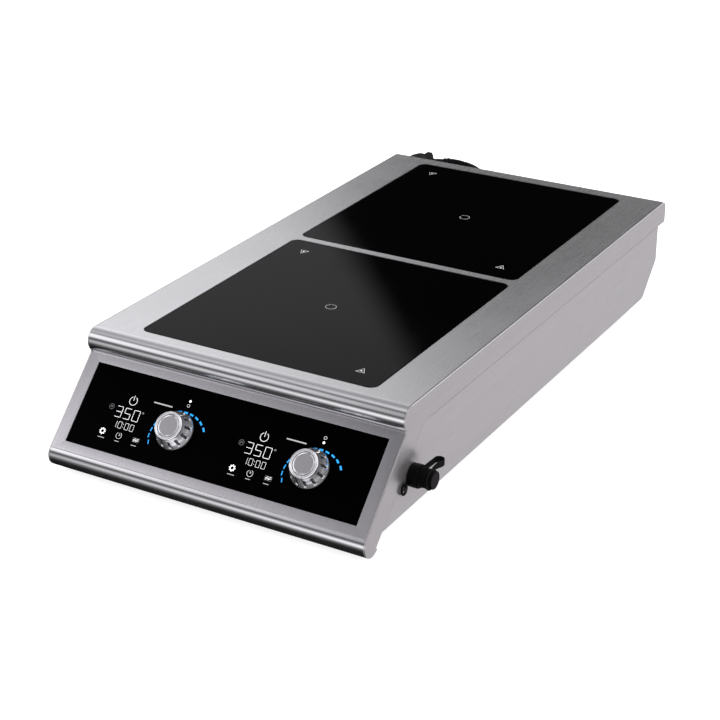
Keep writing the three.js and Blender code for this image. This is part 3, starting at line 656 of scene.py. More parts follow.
def screw(at, axis, r=2.9, h=2.0, mat="screw"):
    """Pan-head screw with a hexagon socket."""
    flat = r * 0.42                              # from the axis to a flat of the socket
    profile = [(0, -0.3), (r, -0.3), (r, h * 0.35), (r * 0.93, h * 0.72), (r * 0.72, h * 0.95),
               (r * 0.56, h), (flat, h), (flat * 0.97, h * 0.35), (0, h * 0.28)]

    def hexagon(ring, radius, angle):
        return radius / math.cos(angle % (math.pi / 3) - math.pi / 6) if ring in (6, 7) else radius
    return turned(profile, MAT[mat], 36, axis_frame(at, axis), hexagon)


# ------------------------------------------------------------------ hood
def glass_outline(zone, offset, steps=12):
    y0, y1 = GLASS[zone]
    return rounded(-GLASS_HALF - offset, GLASS_HALF + offset, y0 - offset, y1 + offset,
                   GLASS_R + offset, steps)


def deck():
    bm = bmesh.new()
    bend_y = REAR_Y - REAR_R
    rear_line = [(PAN_REAR + 0.6, SEAM_Z), (REAR_Y - 1.2, SEAM_Z),
                 (REAR_Y - 0.35, SEAM_Z + 0.35), (REAR_Y, SEAM_Z + 1.2)]
    rear_line += arc(bend_y, DECK_Z - REAR_R, REAR_R, 0, 90, 18)
    strip(bm, rear_line, [-DECK_HALF, DECK_HALF])
    sheet = [(-DECK_HALF, NOSE_Y), (DECK_HALF, NOSE_Y), (DECK_HALF, bend_y), (-DECK_HALF, bend_y)]
    fill(bm, [sheet, glass_outline("front", GAP), glass_outline("rear", GAP)], PLAN, DECK_Z)
    strip(bm, arc(NOSE_Y, NOSE_Z, NOSE_R, 90, 231.2, 60),
          [-SKIN_HALF, -DECK_HALF, DECK_HALF, SKIN_HALF], mat=1)
    ob = from_bm("deck_skin", bm, [MAT["deck"], MAT["roll"]])
    orient(ob, (0, 40, DECK_Z), (0, 0, 1))
    place(bevel(solidify(ob, SHEET_T), 0.32), node="deck_top")


CHEEK_LINE = (arc(REAR_Y - REAR_R, DECK_Z - REAR_R - 0.3, REAR_R - 0.2, 0, 90, 14)
              + arc(NOSE_Y, NOSE_Z, NOSE_R - 0.1, 90, 227.2, 44)
              + [(-297.3, 89.0), (-297.2, 87.2), on_fascia(FASCIA_TOP - 2.2, -0.1)]
              + arc(LIP_Y, LIP_Z, LIP_R - 0.1, 90 + FASCIA_DEG, 270 + FASCIA_DEG, 48)
              + [(-11.2 + SEAM_Y, -11.2), (SEAM_Z + SEAM_Y, SEAM_Z), (REAR_Y - 0.6, SEAM_Z)])
# dressed welds in the cheek seams: outer x and (y, z) outline
WELDS = {
    "seam_weld": (191.985, [(0.3 + SEAM_Y + 0.28, 0.3), (0.3 + SEAM_Y + 1.0, 0.3),
                            (80.2 + SEAM_Y + 1.2, 80.2), (80.2 + SEAM_Y + 0.28, 80.2)]),
    "corner_weld": (191.985, [(-264.7, 81.6), (-263.3, 81.6), (-261.6, 83.3), (-250.5, 83.3),
                              (-250.0, 83.8), (-250.5, 84.3), (-262.3, 84.3)]),
    "seam_fill": (191.35, [(-249.0, 83.45), (REAR_Y - 22.0, 83.45),
                           (REAR_Y - 22.0, 84.15), (-249.0, 84.15)]),
}
WELD_INNER_X = 190.8


def cheek(side, sign):
    low = -HALF_W if side == "left" else HALF_W - CHEEK_T
    ob = prism(CHEEK_LINE, low, low + CHEEK_T, [MAT["side"], MAT["roll"]], plane=ACROSS,
               name="cheek_sheet_" + side)
    # the long outer top edge gets a wider rounding of its own
    bm = bmesh.new()
    bm.from_mesh(ob.data)
    outer_x = sign * HALF_W * MM
    top = [e for e in bm.edges if e.calc_length() > 0.3
           and all(abs(v.co.x - outer_x) < 1e-6 and v.co.z > 0.1115 for v in e.verts)]
    made = bmesh.ops.bevel(bm, geom=top, offset=0.62 * MM, segments=4, profile=0.5,
                           affect="EDGES")
    for face in made["faces"]:
        face.material_index = 1
    bm.to_mesh(ob.data)
    bm.free()
    place(bevel(ob, 0.2, angle=40), node="cheek_" + side)
    for name, (weld_x, outline) in WELDS.items():
        low, high = sorted((sign * WELD_INNER_X, sign * weld_x))
        place(prism(outline, low, high, MAT["side"], plane=ACROSS, name=f"{name}_{side}"))


def fascia():
    bm = bmesh.new()
    top, bottom = FASCIA_TOP + 1.9, -10.2
    sheet = [(-SKIN_HALF, bottom), (SKIN_HALF, bottom), (SKIN_HALF, top), (-SKIN_HALF, top)]
    window = [(-WINDOW_HALF, 0), (WINDOW_HALF, 0), (WINDOW_HALF, WINDOW_TOP),
              (-WINDOW_HALF, WINDOW_TOP)]
    fill(bm, [sheet, window], FASCIA, 0)
    lip = arc(LIP_Y, LIP_Z, LIP_R, 90 + FASCIA_DEG, 270 + FASCIA_DEG, 72)
    lip[0] = on_fascia(bottom)
    strip(bm, lip, [-SKIN_HALF, SKIN_HALF], mat=1)
    ob = from_bm("fascia_skin", bm, [MAT["fascia"], MAT["roll"]])
    orient(ob, fascia3(0, 96, 0), FASCIA[1])
    place(bevel(solidify(ob, SHEET_T), 0.3), node="control_fascia")


deck()
cheek("left", -1)
cheek("right", 1)
fascia()

# ------------------------------------------------------------------ base pan and rear vents
SLOT_PITCH, INTAKE_R, INTAKE_X = 11.6, 42, -100  # intake slots fill two circles
PAN_FRONT = -345.5
VENT_FACE = PAN_REAR + 1.5
VENTS = [(x, z) for x in (-154, -104, 4, 54, 104, 154) for z in (53, 61, 69)]


def base_pan():
    holes = []
    for y in (-150, 130):
        for i in range(-3, 4):
            half = math.sqrt(INTAKE_R ** 2 - (i * SLOT_PITCH) ** 2) - 1
            middle = y + i * SLOT_PITCH
            holes.append(rounded(INTAKE_X - half, INTAKE_X + half, middle - 2.6, middle + 2.6,
                                 2.59, 6))
    holes += [circle(sign * FOOT_X, y, 6, 28) for sign in (-1, 1) for y in FOOT_Y.values()]
    # the rear of the underside bends up a slope to the rear wall
    slope = [(316.5, 0), (320.2, 1.2), (PAN_REAR, 39)]
    bottom_end, wall_foot = slope[0][0], slope[-1][1]
    bm = bmesh.new()
    bottom = [(-HALF_W, PAN_FRONT), (HALF_W, PAN_FRONT), (HALF_W, bottom_end),
              (-HALF_W, bottom_end)]
    fill(bm, [bottom, *holes], PLAN, 0)
    strip(bm, slope, [-HALF_W, HALF_W])
    wall = [(-HALF_W, wall_foot), (HALF_W, wall_foot), (HALF_W, PAN_TOP), (-HALF_W, PAN_TOP)]
    fill(bm, [wall, rounded(-170, 170, 46, 78, 3, 6)], LENGTHWISE, PAN_REAR)
    side = [(PAN_FRONT, 0), *slope, (PAN_REAR, PAN_TOP), (-261.5, PAN_TOP)]
    fill(bm, [side], (ACROSS[0], (-1, 0, 0)), -HALF_W)
    fill(bm, [side, circle(PROBE_Y, PROBE_Z, 8.6, 40)], ACROSS, HALF_W)
    ob = from_bm("base_pan_skin", bm, [MAT["pan"], MAT["bend"]])
    orient(ob, (0, 0, 0), (0, 0, -1))
    bevel(ob, 1.3, 4, 34)
    # the bend faces take the darkened steel: painted shade along the pan's edges
    ob.modifiers[-1].material = 1
    solidify(ob, PAN_T)
    place(bevel(ob, 0.22, angle=40), 30, node="base_pan")


def rear_vents():
    slots = [rounded(x - 20, x + 20, z - 1.8, z + 1.8, 1.79, 6) for x, z in VENTS]
    ob = prism(rounded(-182, 182, 41.5, 82.5, 2.5, 5), PAN_REAR + 0.3, VENT_FACE, MAT["rear"],
               holes=slots + [circle(GLAND_X, GLAND_Z, 8.6, 36)], plane=LENGTHWISE,
               name="rear_vent_sheet")
    place(bevel(ob, 0.3, angle=40), node="rear_vent_panel")
    # pressed lip above each slot: section as (out of the sheet, above the slot's middle)
    section = [(0, 1.7), (0, 3.6), (1.05, 3.0), (2.15, 1.9), (2.45, 1.2), (2.05, 1.2),
               (1.15, 1.8)]
    # stations along a lip: x from its middle and how far the section stands out
    stations = [(-19.6, 0.15), (-18.6, 0.6), (-16.5, 1.0), (16.5, 1.0), (18.6, 0.6),
                (19.6, 0.15)]
    verts, faces = [], []
    for x, z in VENTS:
        rings = equal_rings(len(stations), len(section), len(verts))
        for along, stand in stations:
            verts += [(x + along, VENT_FACE - 0.05 + out * stand, z + up) for out, up in section]
        faces += ring_faces(rings) + [rings[0][::-1], rings[-1]]
    place(new_object("rear_louvre_lips", verts, faces, MAT["rear"]), 40)


def pan_fixings():
    spots = [(x, z) for x in (-177, 177) for z in (47, 62, 77)]
    spots += [(x, 78.5) for x in (-78, 28, 128)]
    heads = [screw((x, VENT_FACE, z), (0, 1, 0)) for x, z in spots]
    place(merge("rear_screws", heads))
    heads = [screw((x, y, 0), (0, 0, -1), 3.1, 1.9)
             for x in (-180, 0, 180) for y in (-335, -225, 60, 300) if (x, y) != (0, -225)]
    place(merge("underside_screws", heads))
    x0, x1, y0, y1 = 40, 128, 150, 206
    plate = prism(rounded(x0, x1, y0, y1, 3, 5), -0.7, 0.0, MAT["plate"], name="blank_plate")
    place(bevel(plate, 0.25))
    inset = 4.5
    rivets = [screw((x, y, -0.6), (0, 0, -1), 1.7, 1.0)
              for x in (x0 + inset, x1 - inset) for y in (y0 + inset, y1 - inset)]
    place(merge("plate_rivets", rivets))


base_pan()
rear_vents()
pan_fixings()

# ------------------------------------------------------------------ cooking glass
# printed marks of each zone: y of the ring, of the left and of the right triangle
GLASS_MARKS = {"front": (-119.5, 4, -243), "rear": (199.2, 323, 75)}


def cooking_glass(zone):
    bottom = GLASS_TOP - GLASS_T
    ob = prism(glass_outline(zone, 0, 14), bottom, GLASS_TOP, MAT["cook"],
               name="cook_plate_" + zone)
    place(bevel(ob, 0.55, 3, 40), node="glass_" + zone)
    # seal around the edge, with a ledge under the glass: low, high, offset of the hole
    seal = [bevel(prism(glass_outline(zone, GAP - 0.3), low, high, MAT["seal"],
                        holes=[glass_outline(zone, hole)]), 0.2, angle=40)
            for low, high, hole in ((bottom - 0.4, GLASS_TOP - 0.35, 0.3),
                                    (bottom - 1.3, bottom - 0.38, -8))]
    place(merge("edge_seal_" + zone, seal), node="glass_seal_" + zone)

    def mark(outline, holes=()):
        return prism(outline, GLASS_TOP - 0.02, GLASS_TOP + 0.05, MAT["print"], holes=holes)
    ring_y, left_y, right_y = GLASS_MARKS[zone]
    marks = [mark(circle(0, ring_y, 6.2, 64), [circle(0, ring_y, 5.85, 64)])]
    # a hollow triangle around a small solid one; the right pair is turned round
    for x, y, turn in ((-111.65, left_y, 1), (109.85, right_y, -1)):
        outer, inner, core = [[(x + turn * u * size, y + turn * v * size)
                               for u, v in ((0, -6.2), (5.4, 3.4), (-5.4, 3.4))]
                              for size in (1.0, 0.86, 0.30)]
        marks += [mark(outer, [inner]), mark(core)]
    place(merge("glass_marks_" + zone, marks), weighted=False)


for zone in GLASS:
    cooking_glass(zone)

# ------------------------------------------------------------------ control glass and its graphics
PANE_MARGIN = 0.35
pane_x, pane_v = WINDOW_HALF - PANE_MARGIN, WINDOW_TOP - PANE_MARGIN
pane = prism([(-pane_x, PANE_MARGIN), (pane_x, PANE_MARGIN), (pane_x, pane_v), (-pane_x, pane_v)],
             -4, -0.25, MAT["panel"], holes=[circle(x, KNOB_V, 4.4, 40) for x in KNOB_X.values()],
             plane=FASCIA, name="control_pane")
place(bevel(pane, 0.3, angle=40), node="control_glass")

PRINT_LOW, PRINT_HIGH = -0.262, -0.2
PRINT_X = -192.15                                # graphics measure x from here
# seven-segment digits: the lit segments, and each segment's ends in digit widths and heights
LIT = {"0": "abcdef", "1": "bc", "3": "abgcd", "5": "afgcd"}
SEGMENTS = {"a": (0, 1, 1, 1), "g": (0, 0.5, 1, 0.5), "d": (0, 0, 1, 0), "f": (0, 0.5, 0, 1),
            "b": (1, 0.5, 1, 1), "e": (0, 0, 0, 0.5), "c": (1, 0, 1, 0.5)}
DIGIT_SLANT = 0.03
# middles of the light bars around a knob, clockwise, as (x, v)
LED_BARS = [(111.8, 23.1), (109.2, 29.9), (109.4, 36.8), (111.0, 43.4), (115.2, 49.2),
            (120.2, 54.8), (126.6, 59.3), (133.6, 62.4), (140.8, 63.1), (148.2, 62.2),
            (155.6, 60.0), (162.2, 56.3), (168.1, 50.7)]


class Print:
    """Collects flat closed shapes on the control glass; shift moves them all along x."""

    def __init__(self, shift):
        self.shift = PRINT_X + shift
        self.verts, self.faces = [], []

    def add(self, outline, holes=()):
        loops = [[(x + self.shift, v) for x, v in loop] for loop in (outline, *holes)]
        bm = prism_bm(loops[0], PRINT_LOW, PRINT_HIGH, loops[1:], PLAN)
        bmesh.ops.recalc_face_normals(bm, faces=bm.faces)
        first = len(self.verts)
        bm.verts.index_update()
        self.verts += [fascia3(*v.co) for v in bm.verts]
        self.faces += [[first + v.index for v in f.verts] for f in bm.faces]
        bm.free()

    def bar(self, x0, v0, x1, v1, width):
        """Bar with round ends."""
        a = math.degrees(math.atan2(v1 - v0, x1 - x0))
        self.add(arc(x1, v1, width / 2, a - 90, a + 90, 6)
                 + arc(x0, v0, width / 2, a + 90, a + 270, 6))

    def ring(self, x, v, r, width, start=0, end=360):
        inner, outer = r - width / 2, r + width / 2
        if end - start >= 360:
            self.add(circle(x, v, outer, 44), [circle(x, v, inner, 44)])
        else:
            self.add(arc(x, v, outer, start, end, 36) + arc(x, v, inner, end, start, 36))

    def digit(self, char, x, v, width, height, stroke):
        """Seven-segment digit with mitred ends, slightly slanted."""
        gap, half = stroke * 0.22, stroke / 2
        for name in LIT[char]:
            xa, va, xb, vb = [part * size for part, size
                              in zip(SEGMENTS[name], (width, height) * 2)]
            length = math.hypot(xb - xa, vb - va)
            ux, uv = (xb - xa) / length, (vb - va) / length
            outline = []
            for a, b in ((gap, 0), (gap + half, -half), (length - gap - half, -half),
                         (length - gap, 0), (length - gap - half, half), (gap + half, half)):
                px, pv = xa + ux * a - uv * b, va + uv * a + ux * b
                outline.append((x + px - pv * DIGIT_SLANT, v + pv))
            self.add(outline)

    def build(self, name, mat):
        place(new_object(name, self.verts, self.faces, MAT[mat], recalc=False), weighted=False)


def display(side, shift):
    """Prints beside one knob and light bars around it."""
    white, dim, grey, led = [Print(shift) for _ in range(4)]
    # open ring with a stroke at the top
    white.ring(75.5, 60.2, 4.6, 0.46, 118, 422)
    white.bar(75.4, 60.8, 75.2, 66.2, 0.46)
    # large number with a small ring at its upper right
    for i, char in enumerate("350"):
        white.digit(char, 60.4 + i * 10.9, 39.6, 7.3, 11.6, 0.46)
    grey.ring(92.6, 50.4, 0.85, 0.3)
    # two pairs of small digits with a colon between them
    for i, char in enumerate("1000"):
        white.digit(char, 62.8 + i * 6.6 + (1.9 if i > 1 else 0), 28.5, 4.2, 7.0, 0.29)
    for up in (2.0, 5.0):
        white.add(circle(75.6 - up * DIGIT_SLANT, 28.6 + up, 0.34, 14))
    # ringed spiral sign
    dim.ring(53.1, 48.8, 2.8, 0.3)
    dim.ring(53.1, 48.8, 1.15, 0.28, -30, 250)
    dim.bar(52.1, 48.9, 54.1, 48.9, 0.35)
    # gear wheel over a dash
    teeth = []
    for k in range(8):
        for turn, r in ((-16, 2.7), (-9, 3.75), (9, 3.75), (16, 2.7)):
            a = (45 * k + turn) * RAD
            teeth.append((54.2 + r * math.cos(a), 21.1 + r * math.sin(a)))
    white.add(teeth, [circle(54.2, 21.1, 1.8, 24)])
    grey.bar(51.3, 14.3, 59.0, 14.3, 0.7)
    # clock over a dash
    white.ring(75.4, 20.8, 3.35, 0.27, 125, 430)
    white.bar(75.4, 20.8, 75.3, 23.3, 0.26)
    white.bar(75.4, 20.8, 76.9, 21.7, 0.26)
    grey.bar(72.8, 14.6, 77.8, 14.6, 0.7)
    # rectangle with slanted stripes over a dash
    x0, x1, v0, v1 = 93.1, 100.9, 18.6, 23.3
    line = 0.3
    dim.add([(x0, v0), (x1, v0), (x1, v1), (x0, v1)],
            [[(x0 + line, v0 + line), (x1 - line, v0 + line), (x1 - line, v1 - line),
              (x0 + line, v1 - line)]])
    for xa, va, xb, vb in ((0.7, 2.3, 3.3, 4.0), (0.9, 0.8, 6.6, 4.0), (3.9, 0.8, 7.1, 2.6)):
        white.bar(x0 + xa, v0 + va, x0 + xb, v0 + vb, 0.5)
    grey.bar(93.8, 14.9, 99.6, 14.9, 0.7)
    grey.bar(100.4, 64.95, 122.4, 64.95, 1.35)
    # two dots above the knob, the solid one differs between the sides
    for v, solid_side in ((75.7, "left"), (70.6, "right")):
        if side == solid_side:
            white.add(circle(140.55, v, 1.4, 28))
        else:
            white.ring(140.4, v, 1.5, 0.26)
    # curved light bars, each thicker than the last
    cx, cv = 141.25, 31.75
    for i, (x, v) in enumerate(LED_BARS):
        r = math.hypot(x - cx, v - cv)
        a = math.degrees(math.atan2(v - cv, x - cx))
        thick = 1.05 + 1.0 * i / (len(LED_BARS) - 1)
        half = math.degrees(2.3 / r)
        led.add(arc(cx, cv, r + thick / 2, a - half, a + half, 6)
                + arc(cx, cv, r - thick / 2, a + half, a - half, 6))
    white.build("display_print_" + side, "white")
    dim.build("display_dim_" + side, "dim")
    grey.build("display_grey_" + side, "grey")
    led.build("display_leds_" + side, "led")


display("left", 0.0)
display("right", 162.0)

# ------------------------------------------------------------------ knobs, as (radius, height)
KNOB_SKIRT = [(20.3, 0.8), (21.0, 1.3), (20.95, 2.2), (20.3, 4.0), (19.2, 6.8), (17.9, 9.8),
              (16.9, 12.4), (16.1, 14.6), (15.7, 15.8)]
KNOB_RIM = [(15.62, 16.3), (15.45, 16.8), (15.15, 17.2), (14.75, 17.42), (14.35, 17.42),
            (14.05, 17.2), (13.92, 16.98), (13.8, 16.98), (13.68, 17.2), (13.4, 17.4),
            (12.95, 17.4), (12.6, 17.15), (12.3, 16.5), (12.2, 15.6), (12.2, 13.0),
            (3.3, 13.0), (3.3, 0.8)]
KNOB_DISC = [(0, 13.3), (11.8, 13.3), (11.8, 16.3), (11.72, 16.55), (11.5, 16.7), (11.25, 16.62),
             (10.75, 16.05), (10.6, 15.95), (10.5, 16.0), (10.35, 16.15), (10.1, 16.2), (0, 16.2)]
GRIPS, GRIP_STEPS = 12, 28                       # grip slots around the skirt, steps for each
GRIP_DEG = 360 // GRIPS
GRIP_HALF_LENGTH, GRIP_R, GRIP_DEPTH = 3.3, 1.45, 1.3


def knob(side):
    x = KNOB_X[side]
    skirt = [(r, h) for r, _, h in smooth_path([(r, 0, h) for r, h in KNOB_SKIRT], 8)]
    profile = skirt + KNOB_RIM
    # steps crowd towards the middle of each grip slot
    angles = []
    for grip in range(GRIPS):
        for k in range(GRIP_STEPS):
            u = k / GRIP_STEPS * 2 - 1
            angles.append((grip + 0.5 + 0.5 * (0.55 * u + 0.45 * u ** 3)) * GRIP_DEG * RAD)
    runs = [0.0]
    for a, b in zip(profile, profile[1:]):
        runs.append(runs[-1] + math.dist(a, b))
    middle = next(run for run, p in zip(runs, profile) if p[1] >= 8.3)

    def slot_depth(i, r, angle):
        if not 3 < i < len(skirt):
            return 0.0
        centre = (math.floor(angle / (GRIP_DEG * RAD)) + 0.5) * GRIP_DEG * RAD
        beyond = max(0.0, abs(runs[i] - middle) - GRIP_HALF_LENGTH)
        outside = math.hypot((angle - centre) * r, beyond) - GRIP_R
        return GRIP_DEPTH * (1 - min(1.0, max(0.0, (outside + 0.35) / 0.5)))
    verts, depths = [], []
    for i, (r, h) in enumerate(profile):
        depths.append([slot_depth(i, r, a) for a in angles])
        for a, depth in zip(angles, depths[-1]):
            sunk = r - depth * 0.93
            verts.append(fascia3(x + sunk * math.cos(a), KNOB_V + sunk * math.sin(a),
                                 h - depth * 0.36))
    count, around = len(profile), len(angles)
    skirt_mat, slot_shade_mat, rim_mat = range(3)
    face_mats = []
    for i in range(count):
        here, above = depths[i], depths[(i + 1) % count]
        for k in range(around):
            nxt = (k + 1) % around
            # faces sunk in a grip slot take the dark slot material: painted shade
            sunk = min(here[k], here[nxt], above[k], above[nxt]) > 0.5
            plain = rim_mat if i >= len(skirt) else skirt_mat
            face_mats.append(slot_shade_mat if sunk else plain)
    ob = new_object("knob_body_" + side, verts, ring_faces(equal_rings(count, around), True),
                    [MAT["skirt"], MAT["knob_slot"], MAT["chrome"]], face_mats)
    place(ob, 50, body="knob_" + side, node="knob_" + side)
    ob = turned(KNOB_DISC, [MAT["chrome"], MAT["satin"]], 128,
                lambda u, v, w: fascia3(x + u, KNOB_V + v, w), ring_mats=[0] * 9 + [1] * 2,
                name="knob_disc_" + side)
    place(ob, 50, body="knob_" + side, node="knob_inlay_" + side)


for side in KNOB_X:
    knob(side)

# ------------------------------------------------------------------ probe socket, cap and tether
# (radius, distance out of the side)
SOCKET = [(0, 5), (3.6, 5), (4, 5.4), (4, 16.7), (4.3, 17), (6.9, 17), (7.3, 16.6), (7.3, 10.8),
          (11.3, 10.8), (11.9, 10.65), (12.3, 10.2), (12.4, 9.6), (12.4, 8.0), (12.1, 7.7),
          (12.1, 7.1), (12.4, 6.8), (12.4, 3.6), (12.3, 3.0), (11.9, 2.4), (8.2, 2.4),
          (8.2, -14), (0, -14)]
CAP = [(0, 17.6), (7.9, 17.6), (7.9, 12.6), (9.6, 12.6), (10.1, 12.85), (10.4, 13.3),
       (10.4, 13.9), (10.15, 14.2), (10.15, 18.0), (10.4, 18.3), (10.4, 19.3), (10.1, 20.0),
       (9.6, 20.35), (8.6, 20.4), (8.4, 20.6), (8.4, 22.2), (8.6, 22.4), (9.2, 22.45),
       (9.5, 22.8), (9.5, 25.2), (9.35, 25.75), (8.95, 26), (8.5, 26), (8.25, 25.75),
       (8.1, 25.7), (0, 25.7)]
# tether: inner ring on the socket, outer ring on the cap, and a strap looping between them
INNER_RING, OUTER_RING = (11.2, 12.2), (20.9, 21.9)
STRAP_HALF_W, STRAP_HALF_T, LOOP_V = 3.4, 0.5, 26.2
# centre line of the strap before and after its loop, as (u, v)
STRAP_IN = [(-7.6, 6.4), (-7.6, 9.0), (-7.5, 12), (-7.3, 15), (-7.1, 18), (-6.9, 21), (-6.7, 24)]
STRAP_OUT = [(-6.5, 24), (-7.2, 21), (-8.2, 17.5), (-9.2, 13.5), (-9.9, 9.5), (-10.2, 6.0),
             (-10.3, 2.5)]
ANCHOR_U, ANCHOR_V = 7.4, -19.4                  # anchor screw below and in front of the socket


def probe_cap():
    ob = turned(CAP, [MAT["black"], MAT["grey_end"]], 216, probe3, fluted(36, 0.45, (7, 8)),
                name="probe_cap_body")
    for face in ob.data.polygons:
        x, y, z = face.center
        off_axis = math.hypot(y - PROBE_Y * MM, z - PROBE_Z * MM)
        if x > (HALF_W + 25.65) * MM and off_axis < 8.2 * MM:
            face.material_index = 1
    ob.visible_glossy = False
    place(ob, 40, body="probe_cap", node="probe_cap")


def tether_strap():
    middle = (INNER_RING[0] + OUTER_RING[1]) / 2
    loop_r = (OUTER_RING[1] - INNER_RING[0]) / 2 - STRAP_HALF_T
    path = [(u, v, INNER_RING[0] + STRAP_HALF_T) for u, v in STRAP_IN]
    path += [(-6.65 + 0.3 * (a + 90) / 180, LOOP_V + loop_r * math.cos(a * RAD),
              middle + loop_r * math.sin(a * RAD)) for a in range(-90, 91, 10)]
    path += [(u, v, OUTER_RING[0] + STRAP_HALF_T) for u, v in STRAP_OUT]
    fine = []
    for a, b in zip(path, path[1:]):
        steps = max(1, int(math.dist(a, b) / 0.45))
        fine += [tuple(p + (q - p) * i / steps for p, q in zip(a, b)) for i in range(steps)]
    fine.append(path[-1])
    count = len(fine)
    verts = []
    run = 0.0
    rib_height, rib_pitch = 0.1, 1.35
    for i, (u, v, w) in enumerate(fine):
        before, after = fine[max(0, i - 1)], fine[min(count - 1, i + 1)]
        dv, dw = after[1] - before[1], after[2] - before[2]
        length = math.hypot(dv, dw)
        if i:
            run += math.dist(fine[i - 1], fine[i])
        rib = rib_height * (0.5 + 0.5 * math.cos(2 * math.pi * run / rib_pitch))
        thick = STRAP_HALF_T - rib_height + rib
        # the last fifth narrows
        half = STRAP_HALF_W
        if i >= count * 0.8:
            half -= 1.6 * (i / count - 0.8) / 0.2
        edge = [(-half, -0.35), (-half + 0.25, -0.45), (-half + 0.6, -thick)]
        lower = edge + [(-a, b) for a, b in reversed(edge)]
        section = lower + [(-a, -b) for a, b in lower]
        verts += [probe3(u + a, v - dw / length * b, w + dv / length * b) for a, b in section]
    rings = equal_rings(count, 12)
    faces = ring_faces(rings) + [rings[0], rings[-1][::-1]]
    return new_object("part", verts, faces, MAT["rubber"])


def rubber_plate(outline, low, high, edge, segments, holes=()):
    return bevel(prism(outline, low, high, MAT["rubber"], holes, PROBE_SIDE), edge, segments, 40)


def tether():
    strap = tether_strap()
    inner = rubber_plate(circle(0, 0, 11.2, 72), *INNER_RING, 0.28, 3, [circle(0, 0, 7.7, 64)])
    outer = rubber_plate(circle(0, 0, 11.4, 72), *OUTER_RING, 0.28, 3, [circle(0, 0, 8.8, 64)])
    ob = merge("cap_tether_band", [strap, inner, outer])
    finish_mesh(ob, 40, False)
    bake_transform(ob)
    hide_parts("cap_tether", "cap_tether_ring")


def tether_anchor():
    loop = [probe3(ANCHOR_U + 5.2 * math.cos(a * RAD), ANCHOR_V + 4.8 * math.sin(a * RAD), 2.0)
            for a in range(0, 360, 8)]
    cord = [(3.4, -14.2, 1.9), (2.6, -17.2, 2.6), (4.4, -18.8, 3.4), (7.6, -16.9, 2.9),
            (8.3, -14.6, 1.9)]
    link = [(1.6, -10.2), (3.2, -14.0), (4.6, -17.8), (8.6, -17.8), (7.7, -14.0), (6.6, -9.6)]
    parts = [rubber_plate(circle(0, 0, 12.2, 72), 0.4, 2.0, 0.35, 3, [circle(0, 0, 8.7, 60)]),
             rubber_plate(link, 0.5, 1.9, 0.3, 2),
             tube(loop, 1.3, MAT["rubber"], 14, closed=True, up=(1, 0, 0)),
             tube(smooth_path([probe3(*p) for p in cord], 6), 1.0, MAT["rubber"], 12,
                  up=(1, 0, 0))]
    place(merge("anchor_strap", parts), 40, node="anchor_loop")
    head = screw(probe3(ANCHOR_U, ANCHOR_V, 3.0), (1, 0, 0), 2.3, 1.5, "dark_screw")
    shank = turned([(0, 0.3), (2.0, 0.3), (2.0, 2.9), (0, 2.9)], MAT["screw"], 32,
                   lambda u, v, w: probe3(ANCHOR_U + u, ANCHOR_V + v, w))
    place(merge("anchor_screw_set", [head, shank]), 40, node="anchor_screw")


place(turned(SOCKET, MAT["black"], 96, probe3, name="probe_socket_body"), 40,
      node="probe_socket")
probe_cap()
tether()
tether_anchor()

# ------------------------------------------------------------------ feet, as (radius, height)
FOOT = [(0, -24.6), (12.6, -24.6), (13.2, -25), (16.9, -25), (17.7, -24.6), (18, -23.8),
        (18, -18.6), (17.7, -17.8), (17.0, -17.3), (15, -15.4), (11.4, -14.2), (10.2, -13.2),
        (10, -12.4), (10, -3.9), (9.6, -3.3), (9.0, -3.2), (5.4, -3.2), (5.4, 12), (0, 12)]
for end, foot_y in FOOT_Y.items():
    for side, foot_x in (("left", -FOOT_X), ("right", FOOT_X)):
        foot = f"foot_{end}_{side}"
        place(turned(FOOT, MAT["foot"], 192, lambda u, v, w: (foot_x + u, foot_y + v, w),
                     fluted(24, 0.9, (5, 6)), name=foot + "_body"),
              40, body=foot, node=foot)

# ------------------------------------------------------------------ cord, gland, plug and ties
CORD_R = 4.6
COIL_X, COIL_Z, COIL_HALF_X, COIL_HALF_Z = -109.0, 60.0, 49.0, 43.7
NEAR_Y, FAR_Y = 391.8, 402.5                     # the coil's two layers behind the hob
PLUG_X0, PLUG_X1, PLUG_Y, PLUG_Z = -152.0, -188.0, 395.0, 97.5   # x of the cord end, far end
PLUG_AXIS_Z = PLUG_Z + 0.6


def gland():
    bore = 5.1
    corners = [(12 * math.cos(a * RAD), 12 * math.sin(a * RAD)) for a in range(0, 360, 60)]
    nut = bevel(prism(corners, 2.0, 7.0, MAT["black"], [circle(0, 0, 5.3, 40)],
                      (gland3, (0, 1, 0))), 0.5, angle=25)
    dome = turned([(bore, 6.9), (9.6, 6.9), (10.4, 7.4), (10.4, 10.2), (10.0, 11.3), (9.0, 13.2),
                   (8.1, 14.9), (7.4, 15.8), (6.6, 16), (5.4, 16), (bore, 15.7), (bore, 6.9)],
                  MAT["black"], 168, gland3, fluted(14, 0.6, (2, 3)))
    thread = turned([(bore, -8), (8.1, -8), (8.1, 2.6), (bore, 2.6), (bore, -8)],
                    MAT["black"], 60, gland3)
    place(merge("gland_body", [nut, dome, thread]), 35, node="cord_gland")


def coil(deg, inward, y):
    """Point on the oval coil; inward runs from 0 at the outer turn to 1 at the inner one."""
    return (COIL_X + (COIL_HALF_X - 20.4 * inward) * math.cos(deg * RAD), y,
            COIL_Z + (COIL_HALF_Z - 20 * inward) * math.sin(deg * RAD))


